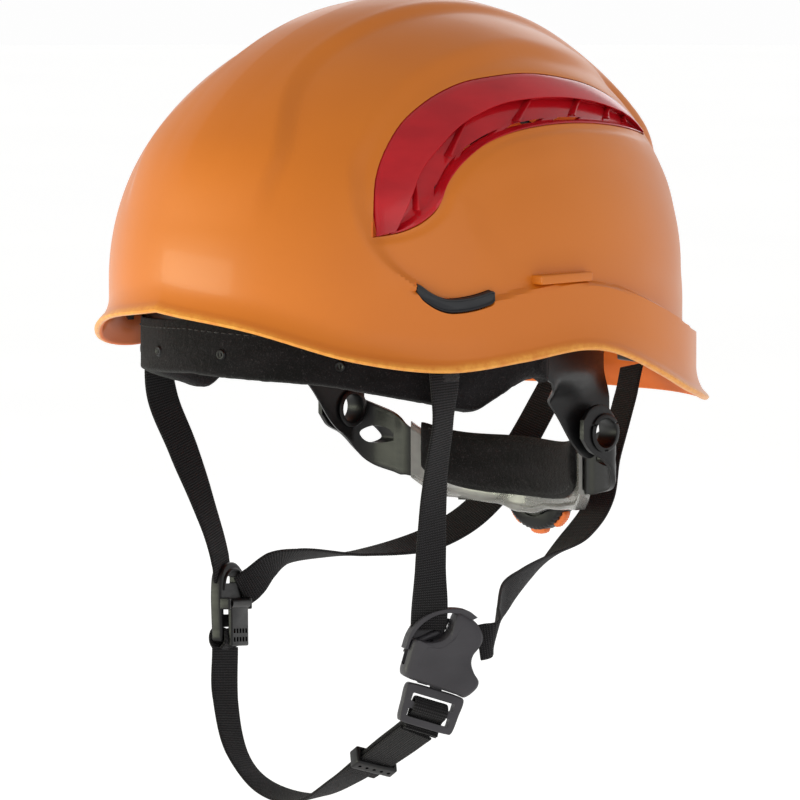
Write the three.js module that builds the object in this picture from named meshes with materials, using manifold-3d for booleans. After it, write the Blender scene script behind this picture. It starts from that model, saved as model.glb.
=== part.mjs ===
// Ventilated climbing helmet for tree work: shell, vent inserts, cradle, headband, nape adjuster
// and four-point chin harness. Millimetres. -Y is the front, +X the wearer's left, +Z up.
// Origin: centre of the head opening, level with the lowest point of the side rim.
import * as THREE from 'three';
import { mergeVertices } from 'three/addons/utils/BufferGeometryUtils.js';
import Module from 'manifold-3d';

const wasm = await Module();
wasm.setup();

// ---------------------------------------------------------------- driving dimensions
const HALF_LENGTH = 136; // shell, fore and aft of its middle
const SHELL_SHIFT = 4; // the shell's middle lies this far behind the origin
const HALF_WIDTH = 104;
const EQUATOR = 30; // height where the shell wall stands upright
const RISE = 112; // from the equator to the crown
const APEX_SHIFT = 3; // the crown lies this far behind the shell's middle
const WALL = 2.8;
const PANEL_DEPTH = 2.5; // how far the side panels lie below the front of the shell
const SKIRT_PROUD = 3.5;
const CREST_HEIGHT = 3;
const GAP = 0.5; // between pieces that rest on each other
const BAND = { x: 83, y: 109, shift: -8, thick: 1.8 }; // headband, an ellipse in plan
const NAPE = { radius: 80, z: -67 }; // path of the racks and height of the pinion axis
const PIVOT = new THREE.Vector3(75, 44.5, -35); // hollow pivots of the nape arms
const WEB = { width: 15, thick: 1.3 }; // harness webbing

// ---------------------------------------------------------------- materials
const plastic = (color, roughness) => new THREE.MeshStandardMaterial({ color, roughness, metalness: 0 });
const ORANGE = plastic(0xd9702c, 0.25);
const RED = plastic(0xb8232c, 0.15);
const BLACK = plastic(0x1b1b1c, 0.45);
const RUBBER = plastic(0x2a2b2e, 0.7);
const BUCKLE = plastic(0x3c3b3f, 0.4);
const SMOKE = plastic(0x8b8a87, 0.2);
const VELOUR = plastic(0x1c1a1d, 0.95);
const WEBBING = plastic(0x181715, 0.9);
const ACCENT = plastic(0xe07a33, 0.4);

// ---------------------------------------------------------------- small tools
const radians = THREE.MathUtils.degToRad;
const mix = THREE.MathUtils.lerp;
const smooth = (x, low, high) => THREE.MathUtils.smoothstep(x, low, high);
const vec = (x, y, z) => new THREE.Vector3(x, y, z);

// Smooth curve of height over position, through hand-set points [position, height].
function profile(points) {
  const slope = points.map((p, i) => {
    const a = points[Math.max(i - 1, 0)];
    const b = points[Math.min(i + 1, points.length - 1)];
    return (b[1] - a[1]) / (b[0] - a[0]);
  });
  return (x) => {
    const last = points.length - 1;
    if (x <= points[0][0]) return points[0][1];
    if (x >= points[last][0]) return points[last][1];
    const i = points.findIndex((p) => p[0] > x) - 1;
    const span = points[i + 1][0] - points[i][0];
    const t = (x - points[i][0]) / span;
    const s = 1 - t;
    const start = points[i][1] * (1 + 2 * t) + slope[i] * span * t;
    const end = points[i + 1][1] * (1 + 2 * s) - slope[i + 1] * span * s;
    return start * s * s + end * t * t;
  };
}

function weld(geometry) {
  geometry.deleteAttribute('normal');
  geometry.deleteAttribute('uv');
  return mergeVertices(geometry, 1e-4);
}

function toSolid(geometry) {
  const welded = weld(geometry.clone());
  const vertProperties = new Float32Array(welded.attributes.position.array);
  const triVerts = new Uint32Array(welded.index.array);
  return new wasm.Manifold(new wasm.Mesh({ numProp: 3, vertProperties, triVerts }));
}

function toGeometry(body) {
  const mesh = body.getMesh();
  const geometry = new THREE.BufferGeometry();
  geometry.setAttribute('position', new THREE.BufferAttribute(mesh.vertProperties, 3));
  geometry.setIndex(new THREE.BufferAttribute(mesh.triVerts, 1));
  return geometry;
}

const cut = (geometry, ...tools) => {
  const body = tools.reduce((rest, tool) => rest.subtract(toSolid(tool)), toSolid(geometry));
  return toGeometry(body);
};

const join = (geometry, ...others) => {
  const body = others.reduce((rest, other) => rest.add(toSolid(other)), toSolid(geometry));
  return toGeometry(body);
};

// Moves every vertex by a map, and turns the faces round if the map mirrors the shape.
function warp(geometry, map) {
  const welded = weld(geometry);
  const place = welded.attributes.position;
  const p = vec(0, 0, 0);
  for (let i = 0; i < place.count; i += 1) {
    p.fromBufferAttribute(place, i);
    const q = map(p);
    place.setXYZ(i, q.x, q.y, q.z);
  }
  return volume(welded) < 0 ? flipped(welded) : welded;
}

function volume(geometry) {
  const place = geometry.attributes.position;
  const order = geometry.index.array;
  const corner = (i) => vec(0, 0, 0).fromBufferAttribute(place, order[i]);
  let total = 0;
  for (let i = 0; i < order.length; i += 3) {
    total += corner(i).dot(corner(i + 1).cross(corner(i + 2)));
  }
  return total / 6;
}

function flipped(geometry) {
  const order = geometry.index.array;
  for (let i = 0; i < order.length; i += 3) {
    [order[i], order[i + 1]] = [order[i + 1], order[i]];
  }
  return geometry;
}

// A block of na x nb x nc cells whose corners (a, b, c), each from 0 to 1, go where the map puts them.
function slab(na, nb, nc, map) {
  const box = new THREE.BoxGeometry(1, 1, 1, na, nb, nc);
  return warp(box, (p) => map(p.x + 0.5, p.y + 0.5, p.z + 0.5));
}

const mirrored = (geometry) => warp(geometry.clone(), (p) => vec(-p.x, p.y, p.z));

function prism(outline, depth) {
  const shape = new THREE.Shape(outline.map(([x, y]) => new THREE.Vector2(x, y)));
  return new THREE.ExtrudeGeometry(shape, { depth, bevelEnabled: false });
}

// A prism whose outline lies in the side view (Y, Z) and which runs along X.
function sidePrism(outline, fromX, toX) {
  return warp(prism(outline, toX - fromX), (p) => vec(fromX + p.z, p.x, p.y));
}

function circle(x, y, radius, count = 24) {
  return Array.from({ length: count }, (_, i) => {
    const turn = (i / count) * 2 * Math.PI;
    return [x + radius * Math.cos(turn), y + radius * Math.sin(turn)];
  });
}

// ---------------------------------------------------------------- shell surface
const rimHeight = profile([
  [0, 22.5], [17, 16.5], [36, 4.2], [54, -1], [72, 1.8], [87, 5], [96, 4], [105, -0.5], [117, -9], [130, -18],
  [147, -25], [180, -27],
]);
const ledgeHeight = profile([
  [-73, 31], [-57, 23], [-40, 26.5], [-20, 31], [0, 31.8], [20, 29.5], [48, 22], [75, 12.5], [100, 5],
  [140, 2],
]);
const brimFlare = profile([[0, 5], [40, 5], [60, 2.5], [110, 2.5], [140, 4.5], [180, 5]]);

// The side panel's outline in the side view: up the front edge, back along the top, down to the ledge.
const PANEL_EDGE = [
  [-70.5, 32], [-81.5, 42], [-87.5, 55], [-87.5, 70], [-80.5, 86], [-56.5, 107], [-24.5, 120], [13.5, 125.5],
  [43.5, 122], [73.5, 115], [103.5, 104], [128.5, 92], [163.5, 90],
];
const panelCurve = new THREE.SplineCurve(PANEL_EDGE.map(([y, z]) => new THREE.Vector2(y, z)));
const panelTop = panelCurve.getPoints(48);
const panelLedge = Array.from({ length: 25 }, (_, i) => {
  const y = mix(160, -74, i / 24);
  return new THREE.Vector2(y, ledgeHeight(y));
});
const panelLoop = [...panelTop, ...panelLedge];

// Distance inside (positive) or outside (negative) the panel's outline, in the side view.
function insidePanel(y, z) {
  let inside = false;
  let nearest = Infinity;
  panelLoop.forEach((a, i) => {
    const b = panelLoop[(i + 1) % panelLoop.length];
    if (a.y > z !== b.y > z && y < ((b.x - a.x) * (z - a.y)) / (b.y - a.y) + a.x) inside = !inside;
    const length2 = (b.x - a.x) ** 2 + (b.y - a.y) ** 2;
    const along = length2 ? ((y - a.x) * (b.x - a.x) + (z - a.y) * (b.y - a.y)) / length2 : 0;
    const t = THREE.MathUtils.clamp(along, 0, 1);
    nearest = Math.min(nearest, Math.hypot(y - mix(a.x, b.x, t), z - mix(a.y, b.y, t)));
  });
  return inside ? nearest : -nearest;
}

// How far the finished surface stands out from the plain dome.
function relief(p) {
  const edge = mix(2.5, 7, smooth(p.z, 36, 50));
  const panel = smooth(insidePanel(p.y, p.z), -edge / 2, edge / 2);
  const skirt = SKIRT_PROUD * smooth(p.y, -60, 90) * (1 - smooth(p.z, 45, 65));
  const side = mix(skirt, -PANEL_DEPTH, panel);
  const halfBand = 21 + 17 * smooth(125 - p.z, 0, 45);
  const crest = (1 - smooth(Math.abs(p.x), halfBand - 3, halfBand + 5)) * smooth(p.z, 55, 90);
  const keel = 0.8 * Math.max(0, 1 - Math.abs(p.x) / 15);
  return mix(side, CREST_HEIGHT + keel, crest);
}

const DOME_ARC = 172;
const apexShift = (z) => SHELL_SHIFT + APEX_SHIFT * smooth(z, 70, 140);

// Shell surface: turn is the angle in plan from the front, down runs from 0 at the crown to 1 at the
// rim, and depth is how far the point lies inside the outer surface.
function shellPoint(turn, down, depth) {
  const azimuth = Math.atan2(HALF_WIDTH * Math.sin(turn), HALF_LENGTH * Math.cos(turn));
  const degrees = Math.abs(THREE.MathUtils.radToDeg(azimuth));
  const rim = rimHeight(degrees);
  const travel = down * (DOME_ARC + EQUATOR - rim);
  const tilt = Math.min(travel / DOME_ARC, 1) * (Math.PI / 2);
  const z = EQUATOR + RISE * Math.cos(tilt) - Math.max(travel - DOME_ARC, 0);
  const p = vec(HALF_WIDTH * Math.sin(turn), -HALF_LENGTH * Math.cos(turn), 0);
  p.multiplyScalar(Math.sin(tilt)).add(vec(0, apexShift(z), z));
  const fore = (p.y - apexShift(z)) / HALF_LENGTH ** 2;
  const out = vec(p.x / HALF_WIDTH ** 2, fore, Math.max(z - EQUATOR, 0) / RISE ** 2).normalize();
  const lip = Math.max(1 - (z - rim) / 13, 0);
  const flare = brimFlare(degrees) * lip * lip;
  return p.addScaledVector(out, relief(p) - depth + flare);
}

// X of the panel surface at a point of the side view, and the same lowered by a depth along X.
function sideX(y, z, depth) {
  const fore = (y - apexShift(z)) / HALF_LENGTH;
  const high = Math.max(z - EQUATOR, 0) / RISE;
  const x = HALF_WIDTH * Math.sqrt(Math.max(1 - fore * fore - high * high, 0.02));
  const out = vec(x / HALF_WIDTH ** 2, fore / HALF_LENGTH, high / RISE).normalize();
  return x - (PANEL_DEPTH + depth) / Math.max(out.x, 0.35);
}

// ---------------------------------------------------------------- vent crescent, in the side view
const VENT_UPPER = [
  [-83.5, 53.5], [-75.5, 75.5], [-61.5, 92.5], [-44.5, 103.5], [-25.5, 111], [-6.5, 114.5], [13.5, 115],
  [34.5, 112.5], [55.5, 108], [77.5, 99.5], [96.5, 87.5],
];
const VENT_LOWER = [
  [-80.5, 53], [-73.5, 54.5], [-65.5, 58], [-58.5, 63.5], [-52.5, 72.5], [-43.5, 80.5], [-29.5, 88], [-8.5, 93],
  [19.5, 94.5], [53.5, 92], [95.5, 85.5],
];
const VENT_STEPS = 26;
const curve2 = (points) => new THREE.SplineCurve(points.map(([y, z]) => new THREE.Vector2(y, z)));
const ventUpper = curve2(VENT_UPPER);
const ventLower = curve2(VENT_LOWER);

// A point of the crescent: t runs from the front tip to the rear tip, v from the upper to the lower edge.
function ventPoint(t, v, margin) {
  const up = ventUpper.getPoint(t);
  const low = ventLower.getPoint(t);
  const span = up.distanceTo(low);
  const inset = Math.min(margin / Math.max(span, 0.1), 0.4);
  return up.lerp(low, mix(inset, 1 - inset, v));
}

function ventOutline(steps) {
  const upper = Array.from({ length: steps + 1 }, (_, i) => ventUpper.getPoint(i / steps));
  const lower = Array.from({ length: steps + 1 }, (_, i) => ventLower.getPoint(1 - i / steps));
  return [...upper, ...lower].map((p) => [p.x, p.y]);
}

// ---------------------------------------------------------------- accessory slot with its curved plug
const slotPoint = (t, side, halfWidth) => {
  const y = mix(-73, -40, t);
  const z = 24.5 + (t < 0.45 ? 40 : 11.5) * (t - 0.45) ** 2;
  const ends = Math.min(1, 0.35 + 8 * Math.min(t, 1 - t));
  return [y, z + side * halfWidth * ends];
};
const slotOutline = (halfWidth, margin) => {
  const count = 14;
  const shares = Array.from({ length: count + 1 }, (_, i) => mix(margin, 1 - margin, i / count));
  const low = shares.map((t) => slotPoint(t, -1, halfWidth));
  const high = shares.reverse().map((t) => slotPoint(t, 1, halfWidth));
  return [...low, ...high];
};

// ---------------------------------------------------------------- shell and what sits in it
function shellGeometry() {
  const rows = 20;
  const fractions = Array.from({ length: rows + 1 }, (_, i) => i / rows);
  const outer = fractions.map((down) => new THREE.Vector2(down, 0));
  const lip = [new THREE.Vector2(1.004, 1.4)];
  const inner = fractions.map((down) => new THREE.Vector2(1 - down, WALL));
  const lathe = new THREE.LatheGeometry([...outer, ...lip, ...inner], 54);
  const body = warp(lathe, (p) => shellPoint(Math.atan2(p.x, p.z), Math.hypot(p.x, p.z), p.y));
  const vent = sidePrism(ventOutline(VENT_STEPS), 30, 130);
  const slot = sidePrism(slotOutline(3, 0), 60, 130);
  const hook = hookBar();
  const withHooks = join(body, hook, mirrored(hook));
  return cut(withHooks, vent, mirrored(vent), slot, mirrored(slot));
}

// Moulded bar above the ledge that a lamp strap is hooked under, with a flat outer face.
const HOOK = { y: -6, z: 33.6, length: 30, height: 3.8 };
function hookBar() {
  const outer = HALF_WIDTH + 1.6;
  const bar = new THREE.BoxGeometry(9, HOOK.length, HOOK.height);
  bar.translate(outer - 4.5, HOOK.y, HOOK.z);
  return bar;
}

// Red crescent: a flush blade above, then a step down to a louvre floor with openings between ribs.
function ventInsert() {
  const section = [[0, 0], [0.5, 0], [0.56, 5.5], [1, 5.5]];
  const body = slab(VENT_STEPS, 1, 3, (a, b, c) => {
    const [v, drop] = section[Math.round(c * 3)];
    const spread = 0.35 * Math.sin(Math.PI * a) + 0.65 * Math.min(6 * Math.sin(Math.PI * a), 1);
    const p = ventPoint(a, v, GAP);
    const depth = drop * spread + (1 - b) * 2.2;
    return vec(sideX(p.x, p.y, depth), p.x, p.y);
  });
  const windows = [0.25, 0.4, 0.55, 0.7, 0.84].map((start) => louvreWindow(start, start + 0.11));
  return cut(body, ...windows);
}

function louvreWindow(from, to) {
  const steps = 4;
  const edge = (v, a, b) => Array.from({ length: steps + 1 }, (_, i) => {
    return ventPoint(mix(a, b, i / steps), v, GAP);
  });
  const outline = [...edge(0.66, from, to), ...edge(0.9, to, from)].map((p) => [p.x, p.y]);
  return sidePrism(outline, 20, 130);
}

function slotPlug() {
  const body = sidePrism(slotOutline(3 - GAP, 0.03), 0, 1);
  return warp(body, (p) => vec(sideX(p.y, p.z, 1.5 - 4.5 * p.x), p.y, p.z));
}

function rearPlate() {
  return slab(16, 1, 2, (a, b, c) => {
    const turn = Math.PI + radians(mix(-24, 24, a));
    const z = mix(28, 43, c);
    const out = mix(0.3, 1.1, b) - PANEL_DEPTH;
    const y = SHELL_SHIFT - (HALF_LENGTH + out) * Math.cos(turn);
    return vec((HALF_WIDTH + out) * Math.sin(turn), y, z);
  });
}

// ---------------------------------------------------------------- headband and sweatband
const bandLower = profile([
  [0, -3], [37, -6.2], [50, -10], [66, -15.6], [75, -19], [82, -13.5], [89, -8], [95, -8], [99, -12],
]);
const bandUpper = profile([[0, 24], [60, 20], [120, 16]]);
const EAR_X = 72; // the ears stand square to the pivot axis
const bandPoint = (degrees, out, z) => {
  const turn = radians(degrees);
  const p = vec((BAND.x + out) * Math.sin(turn), BAND.shift - (BAND.y + out) * Math.cos(turn), z);
  const ear = smooth(Math.abs(degrees), 99, 104) * smooth(-z, 8, 22);
  p.x = mix(p.x, Math.sign(degrees) * (EAR_X + out), ear);
  return p;
};
// The band's ears reach down to the pivots of the nape arms.
const earLower = profile([[100, -15], [106, -26], [112, -40], [117, -46], [121, -42], [124, -32]]);

function headband() {
  const body = slab(64, 1, 3, (a, b, c) => {
    const degrees = mix(-124, 124, a);
    const side = Math.abs(degrees);
    const low = side > 100 ? earLower(side) : bandLower(side);
    return bandPoint(degrees, (b - 0.5) * BAND.thick, mix(low, bandUpper(side), c));
  });
  return cut(body, pivotBore(7.8), mirrored(pivotBore(7.8)));
}

function pivotBore(radius) {
  return sidePrism(circle(PIVOT.y, PIVOT.z, radius), 50, 100);
}

// One pad folded under the band's lower edge: thick inside leg, thin outside leg.
function sweatband() {
  const inner = -BAND.thick / 2 - GAP;
  const outer = BAND.thick / 2 + GAP;
  return slab(44, 1, 3, (a, b, c) => {
    const degrees = mix(-97, 97, a);
    const low = bandLower(Math.abs(degrees));
    const high = bandUpper(Math.abs(degrees));
    const fold = low - 1.1;
    const corners = [
      [[inner, high], [inner - 4.3, high - 1]],
      [[inner, fold], [inner - 4.3, fold - 1.3]],
      [[outer, fold], [outer + 1.2, fold - 1.3]],
      [[outer, high - 7], [outer + 1.2, high - 7]],
    ];
    const [out, z] = corners[Math.round(c * 3)][Math.round(b)];
    return bandPoint(degrees, out, z);
  });
}

// ---------------------------------------------------------------- cradle
const CLIP_TURNS = [35, 90, 145];

// Crown strap over the head from one clip to the one opposite, raised by its place in the stack.
function cradleStrap(degrees, raise) {
  const half = 9;
  return slab(2, 1, 22, (a, b, c) => {
    const turn = radians(degrees);
    const arc = mix(-82, 82, c);
    const along = vec(87 * Math.sin(turn), -111 * Math.cos(turn), 0).multiplyScalar(Math.sin(radians(arc)));
    const lift = raise * Math.cos(radians(arc)) ** 8;
    const z = 26 + 78 * Math.cos(radians(arc)) + lift + b * 1.1;
    const across = vec(110 * Math.cos(turn), 88 * Math.sin(turn), 0).normalize();
    along.add(vec(0, BAND.shift * Math.sin(radians(arc)) ** 2, z));
    return along.addScaledVector(across, (a - 0.5) * 2 * half);
  });
}

// Clip that holds a strap end against the inside of the shell.
function cradleClip(degrees) {
  const at = (turn, out, z) => {
    return vec((BAND.x + out) * Math.sin(turn), BAND.shift - (BAND.y + out) * Math.cos(turn), z);
  };
  const middle = radians(degrees);
  const plate = slab(3, 1, 2, (a, b, c) => at(middle + (a - 0.5) * 0.2, mix(5.5, 9, b), mix(14, 35.5, c)));
  const heading = Math.atan2((BAND.y + 9) * Math.sin(middle), (BAND.x + 9) * Math.cos(middle));
  return join(plate, post(at(middle, 7.5, 22), heading, 8, 6));
}

// Post that carries a clip or an anchor: from a point on it, out to the shell's inner surface.
function post(from, heading, width, height) {
  const bar = new THREE.BoxGeometry(width, 40, height);
  bar.translate(0, -20, 0);
  bar.rotateZ(heading);
  bar.translate(from.x, from.y, from.z);
  const turn = Math.atan2(from.x / HALF_WIDTH, -from.y / HALF_LENGTH);
  const outside = slab(8, 1, 8, (a, b, c) => {
    return shellPoint(turn + (a - 0.5) * 0.7, mix(0.6, 1, c), mix(WALL + 0.3, -45, b));
  });
  return cut(bar, outside);
}

// ---------------------------------------------------------------- webbing
// A flat strap through hand-set stations {at, wide}: centre point and the direction of its width.
function strap(stations, steps, width = WEB.width) {
  const path = new THREE.CatmullRomCurve3(stations.map((s) => vec(...s.at)), false, 'centripetal');
  const wide = new THREE.CatmullRomCurve3(stations.map((s) => vec(...s.wide)));
  return slab(1, 1, steps, (a, b, c) => {
    const along = path.getTangent(c);
    const side = wide.getPoint(c).projectOnPlane(along).normalize();
    const face = vec(0, 0, 0).crossVectors(along, side);
    const p = path.getPoint(c);
    p.addScaledVector(side, (a - 0.5) * width);
    return p.addScaledVector(face, (b - 0.5) * WEB.thick);
  });
}

const FRONT_LEFT = [
  { at: [85, -57, 6.5], wide: [0.4, 0.92, 0] },
  { at: [85, -56.5, -8], wide: [0.05, 1, 0] },
  { at: [83.5, -56, -24], wide: [-0.2, 0.98, 0] },
  { at: [77, -54, -48], wide: [-0.1, 0.99, 0] },
  { at: [70, -49.5, -85], wide: [0.2, 0.97, -0.1] },
  { at: [67.4, -47.4, -101.3], wide: [0.482, 0.82, -0.309] },
];
const FRONT_RIGHT = [
  { at: [-85, -57, 6.5], wide: [-0.4, 0.92, 0] },
  { at: [-85, -56.5, -8], wide: [-0.05, 1, 0] },
  { at: [-83.5, -55, -24], wide: [0.2, 0.98, 0] },
  { at: [-77.5, -48, -48], wide: [0.1, 0.99, 0] },
  { at: [-71.5, -38, -80], wide: [-0.25, 0.96, 0] },
  { at: [-70, -34.5, -93.8], wide: [-0.31, 0.95, 0] },
];
const REAR_LEFT = [
  { at: [20, 123.5, -16], wide: [0.98, -0.19, 0] },
  { at: [22, 117.5, -28], wide: [0.98, -0.19, 0] },
  { at: [27, 101, -55], wide: [0.97, -0.12, 0] },
  { at: [34, 88, -71], wide: [0.95, 0.05, 0] },
  { at: [39, 69, -83], wide: [0.93, 0.2, 0.05] },
  { at: [43, 43, -93.5], wide: [0.75, -0.1, 0.65] },
  { at: [51, 21, -99], wide: [0.4, -0.15, 0.88] },
  { at: [58, 5, -103.5], wide: [0, 0.1, 0.98] },
  { at: [70, -11, -110.5], wide: [0, 0.2, 0.95] },
  { at: [78.4, -21.7, -115.3], wide: [0.15, 0.27, 0.95] },
];
const REAR_RIGHT = [
  { at: [-20, 123.5, -16], wide: [0.98, 0.19, 0] },
  { at: [-22, 117.5, -28], wide: [0.98, 0.19, 0] },
  { at: [-28, 102, -55], wide: [0.95, 0.3, 0] },
  { at: [-34, 90, -75.5], wide: [0.93, 0.3, -0.2] },
  { at: [-42, 67, -90], wide: [0.9, 0.05, -0.42] },
  { at: [-54, 34, -95.5], wide: [0.93, -0.36, 0] },
  { at: [-63.5, 1.5, -95], wide: [0.8, -0.25, 0.5] },
  { at: [-67, -8, -98.5], wide: [0.35, -0.45, 0.8] },
  { at: [-69, -16, -105], wide: [0, -0.6, 0.8] },
];
const CHIN = [
  { at: [-67.6, -34, -131], wide: [0, 0.96, -0.28] },
  { at: [-65.5, -36, -153], wide: [0, 0.96, -0.28] },
  { at: [-56, -38, -175], wide: [-0.1, 0.96, -0.2] },
  { at: [-38, -39, -187], wide: [-0.3, 0.9, 0.1] },
  { at: [-12, -40, -189], wide: [0, 0.96, 0.1] },
  { at: [12, -41, -178.5], wide: [0.2, 0.95, -0.1] },
  { at: [36, -41.8, -163.5], wide: [0.35, 0.88, -0.25] },
  { at: [59, -45.2, -150.6], wide: [0.482, 0.82, -0.309] },
];
const TAIL = [
  { at: [22, -42.3, -174.8], wide: [0.3, 0.9, -0.2] },
  { at: [37.5, -42.8, -165.4], wide: [0.38, 0.86, -0.27] },
  { at: [58, -45.6, -153.6], wide: [0.482, 0.82, -0.309] },
];

// Loop with a perforated front bar that keeps the tail against the chin strap.
function strapKeeper() {
  const along = vec(0.83, -0.07, 0.55).normalize();
  const wide = vec(0.3, 0.9, -0.25).projectOnPlane(along).normalize();
  const face = vec(0, 0, 0).crossVectors(wide, along);
  const ring = new THREE.BoxGeometry(19.6, 6, 8);
  const inside = new THREE.BoxGeometry(16.6, 10, 5.6);
  const body = cut(ring, inside);
  body.applyMatrix4(new THREE.Matrix4().makeBasis(wide, along, face));
  return body.translate(29.4, -41.9, -169);
}

// ---------------------------------------------------------------- strap anchors
function anchorPlate(x, y, z, heading) {
  const plate = new THREE.BoxGeometry(20, 3, 15);
  const slot = new THREE.BoxGeometry(15.5, 5, 2.4);
  slot.translate(0, 0, -4);
  const body = cut(plate, slot);
  body.rotateZ(heading);
  body.translate(x, y, z);
  return join(body, post(vec(x, y, z + 3), heading, 10, 6));
}

// ---------------------------------------------------------------- chin buckle
// Local frame of the buckle: x across it towards the rear, y up along the strap, z out of its face.
const BUCKLE_AT = vec(70, -39.5, -119);
const buckleFrame = () => {
  const wide = vec(0.482, 0.82, -0.309).normalize();
  const up = vec(0.15, 0.27, 0.95).projectOnPlane(wide).normalize();
  const face = vec(0, 0, 0).crossVectors(wide, up);
  const turn = new THREE.Matrix4().makeBasis(wide, up, face);
  const group = new THREE.Group();
  group.quaternion.setFromRotationMatrix(turn);
  group.position.copy(BUCKLE_AT);
  return group;
};

const FEMALE_OUTLINE = [
  [-16, -13], [-11, -15], [11, -15.5], [16, -13], [13.5, -9], [13, -4], [15.5, 1], [16.5, 5], [12, 11],
  [4, 16], [-4, 16.5], [-11, 12], [-16, 4], [-16, -2],
];

function buckleFemale() {
  const body = prism(FEMALE_OUTLINE, 8);
  body.translate(0, 0, -4);
  const socket = new THREE.BoxGeometry(21, 22, 5.6);
  socket.translate(0, -9, 0);
  const frontSlot = new THREE.BoxGeometry(16.5, 3, 12);
  frontSlot.translate(-4, 9.5, 0);
  const rearSlot = new THREE.BoxGeometry(2.4, 7, 12);
  rearSlot.translate(12.5, 4, 0);
  return cut(body, socket, frontSlot, rearSlot);
}

function buckleMale() {
  const frame = new THREE.BoxGeometry(25, 16.5, 5);
  frame.translate(0, -25, 0);
  const upper = new THREE.BoxGeometry(18, 3.4, 7);
  upper.translate(0, -22.2, 0);
  const lower = new THREE.BoxGeometry(18, 3.4, 7);
  lower.translate(0, -28.6, 0);
  const tongue = new THREE.BoxGeometry(5, 15, 2.6);
  tongue.translate(0, -10.5, 0);
  return join(cut(frame, upper, lower), tongue);
}

function buckleProng(side) {
  const outline = [[4, -16.2], [8.4, -16.2], [8.4, -9], [9.2, -7], [8.2, -2], [5.6, -1], [4.6, -5]];
  const body = prism(outline, 2.6);
  body.translate(0, 0, -1.3);
  return side > 0 ? body : mirrored(body);
}

// ---------------------------------------------------------------- side divider
const DIVIDER_AT = vec(-70.5, -30, -112);
const dividerFrame = () => {
  const wide = vec(-0.31, 0.95, -0.1).normalize();
  const up = vec(-0.1, 0.1, 0.99).projectOnPlane(wide).normalize();
  const face = vec(0, 0, 0).crossVectors(wide, up);
  const group = new THREE.Group();
  group.quaternion.setFromRotationMatrix(new THREE.Matrix4().makeBasis(wide, up, face));
  group.position.copy(DIVIDER_AT);
  return group;
};

const DIVIDER_OUTLINE = [
  [-9, -17], [9, -17], [10.5, -8], [13.5, 2], [12, 10], [6, 16], [-3, 16.5], [-9, 12], [-10.5, 3],
  [-10.5, -9],
];

function dividerBody() {
  const body = prism(DIVIDER_OUTLINE, 5);
  body.translate(0, 0, -2.5);
  const lower = new THREE.BoxGeometry(16, 3.2, 9);
  lower.translate(0, -12.5, 0);
  const middle = new THREE.BoxGeometry(16, 3.2, 9);
  middle.translate(0, -4, 0);
  const upper = new THREE.BoxGeometry(14, 3, 9);
  upper.translate(0, 9, 0);
  const lugs = [-9.4, 9.4].map((x) => {
    const lug = new THREE.BoxGeometry(2, 5, 5);
    lug.translate(x, -1, 4);
    return lug;
  });
  return cut(join(cut(body, lower, middle, upper), ...lugs), leverBore(1.3));
}

function leverBore(radius) {
  const bore = new THREE.CylinderGeometry(radius, radius, 24, 12);
  bore.rotateZ(Math.PI / 2);
  bore.translate(0, -1, 5);
  return bore;
}

function leverPin() {
  const pin = new THREE.CylinderGeometry(1, 1, 20.4, 12);
  pin.rotateZ(Math.PI / 2);
  pin.translate(0, -1, 5);
  return pin;
}

// Cam lever with two rows of holes in its flap, lying over the lower half of the divider.
function dividerLever() {
  const flap = new THREE.BoxGeometry(15, 18, 2);
  flap.translate(0, -10, 5.2);
  const boss = new THREE.CylinderGeometry(2.2, 2.2, 15.6, 16);
  boss.rotateZ(Math.PI / 2);
  boss.translate(0, -1, 5);
  const holes = [];
  for (let row = 0; row < 2; row += 1) {
    for (let column = 0; column < 5; column += 1) {
      const hole = new THREE.BoxGeometry(1.6, 2, 6);
      hole.translate(-5.2 + 2.6 * column, -12.6 - 3.6 * row, 5);
      holes.push(hole);
    }
  }
  return cut(join(flap, boss), leverBore(1.3), ...holes);
}

// ---------------------------------------------------------------- nape adjuster
const napePoint = (degrees, radius, z) => {
  const turn = radians(degrees);
  return vec(radius * Math.sin(turn), radius * Math.cos(turn), z);
};

// Arm from the pivot to the mouth of the nape housing; +X side.
const ARM_PATH = [[77.5, 32], [77.5, 44.5], [76.3, 52], [70, 57.3], [60.5, 59.5]];
const armHalf = profile([[0, 4], [0.1, 9], [0.27, 11.5], [0.45, 12], [0.7, 13.2], [1, 12]]);
const armHeight = profile([[0, -33], [0.27, -35], [0.6, -45], [1, -50.7]]);

function napeArm() {
  const path = curve2(ARM_PATH);
  const body = slab(1, 3, 20, (a, b, c) => {
    const at = path.getPoint(c);
    const tangent = path.getTangent(c);
    const thick = 2.2;
    const x = at.x + tangent.y * (a - 0.5) * thick;
    const y = at.y - tangent.x * (a - 0.5) * thick;
    return vec(x, y, armHeight(c) + (b * 2 - 1) * armHalf(c));
  });
  const lens = [[53.5, -48], [55, -44.5], [58, -44], [59.5, -49], [57.5, -51], [54.5, -51]];
  return cut(body, pivotBore(7.8), sidePrism(lens, 40, 90));
}

// Hollow rivet that joins a headband ear to a nape arm.
function pivotRivet() {
  const section = [
    [6, -6], [10, -6], [10, -4.6], [7.4, -4.6], [7.4, 4.4], [10, 4.4], [10, 5.8], [6, 5.8], [6, -6],
  ];
  const ring = new THREE.LatheGeometry(section.map(([r, z]) => new THREE.Vector2(r, z)), 20);
  ring.rotateZ(-Math.PI / 2);
  ring.translate(PIVOT.x, PIVOT.y, PIVOT.z);
  return ring;
}

// The housing's ends rise towards the arms, over this arc to each side.
const HOUSING_ARC = 40;
const housingHalf = (degrees) => mix(12.6, 13.2, smooth(HOUSING_ARC - Math.abs(degrees), 0, 18));
const housingMiddle = (degrees) => NAPE.z + 2.5 + 12 * (Math.abs(degrees) / HOUSING_ARC) ** 3.7;

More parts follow.
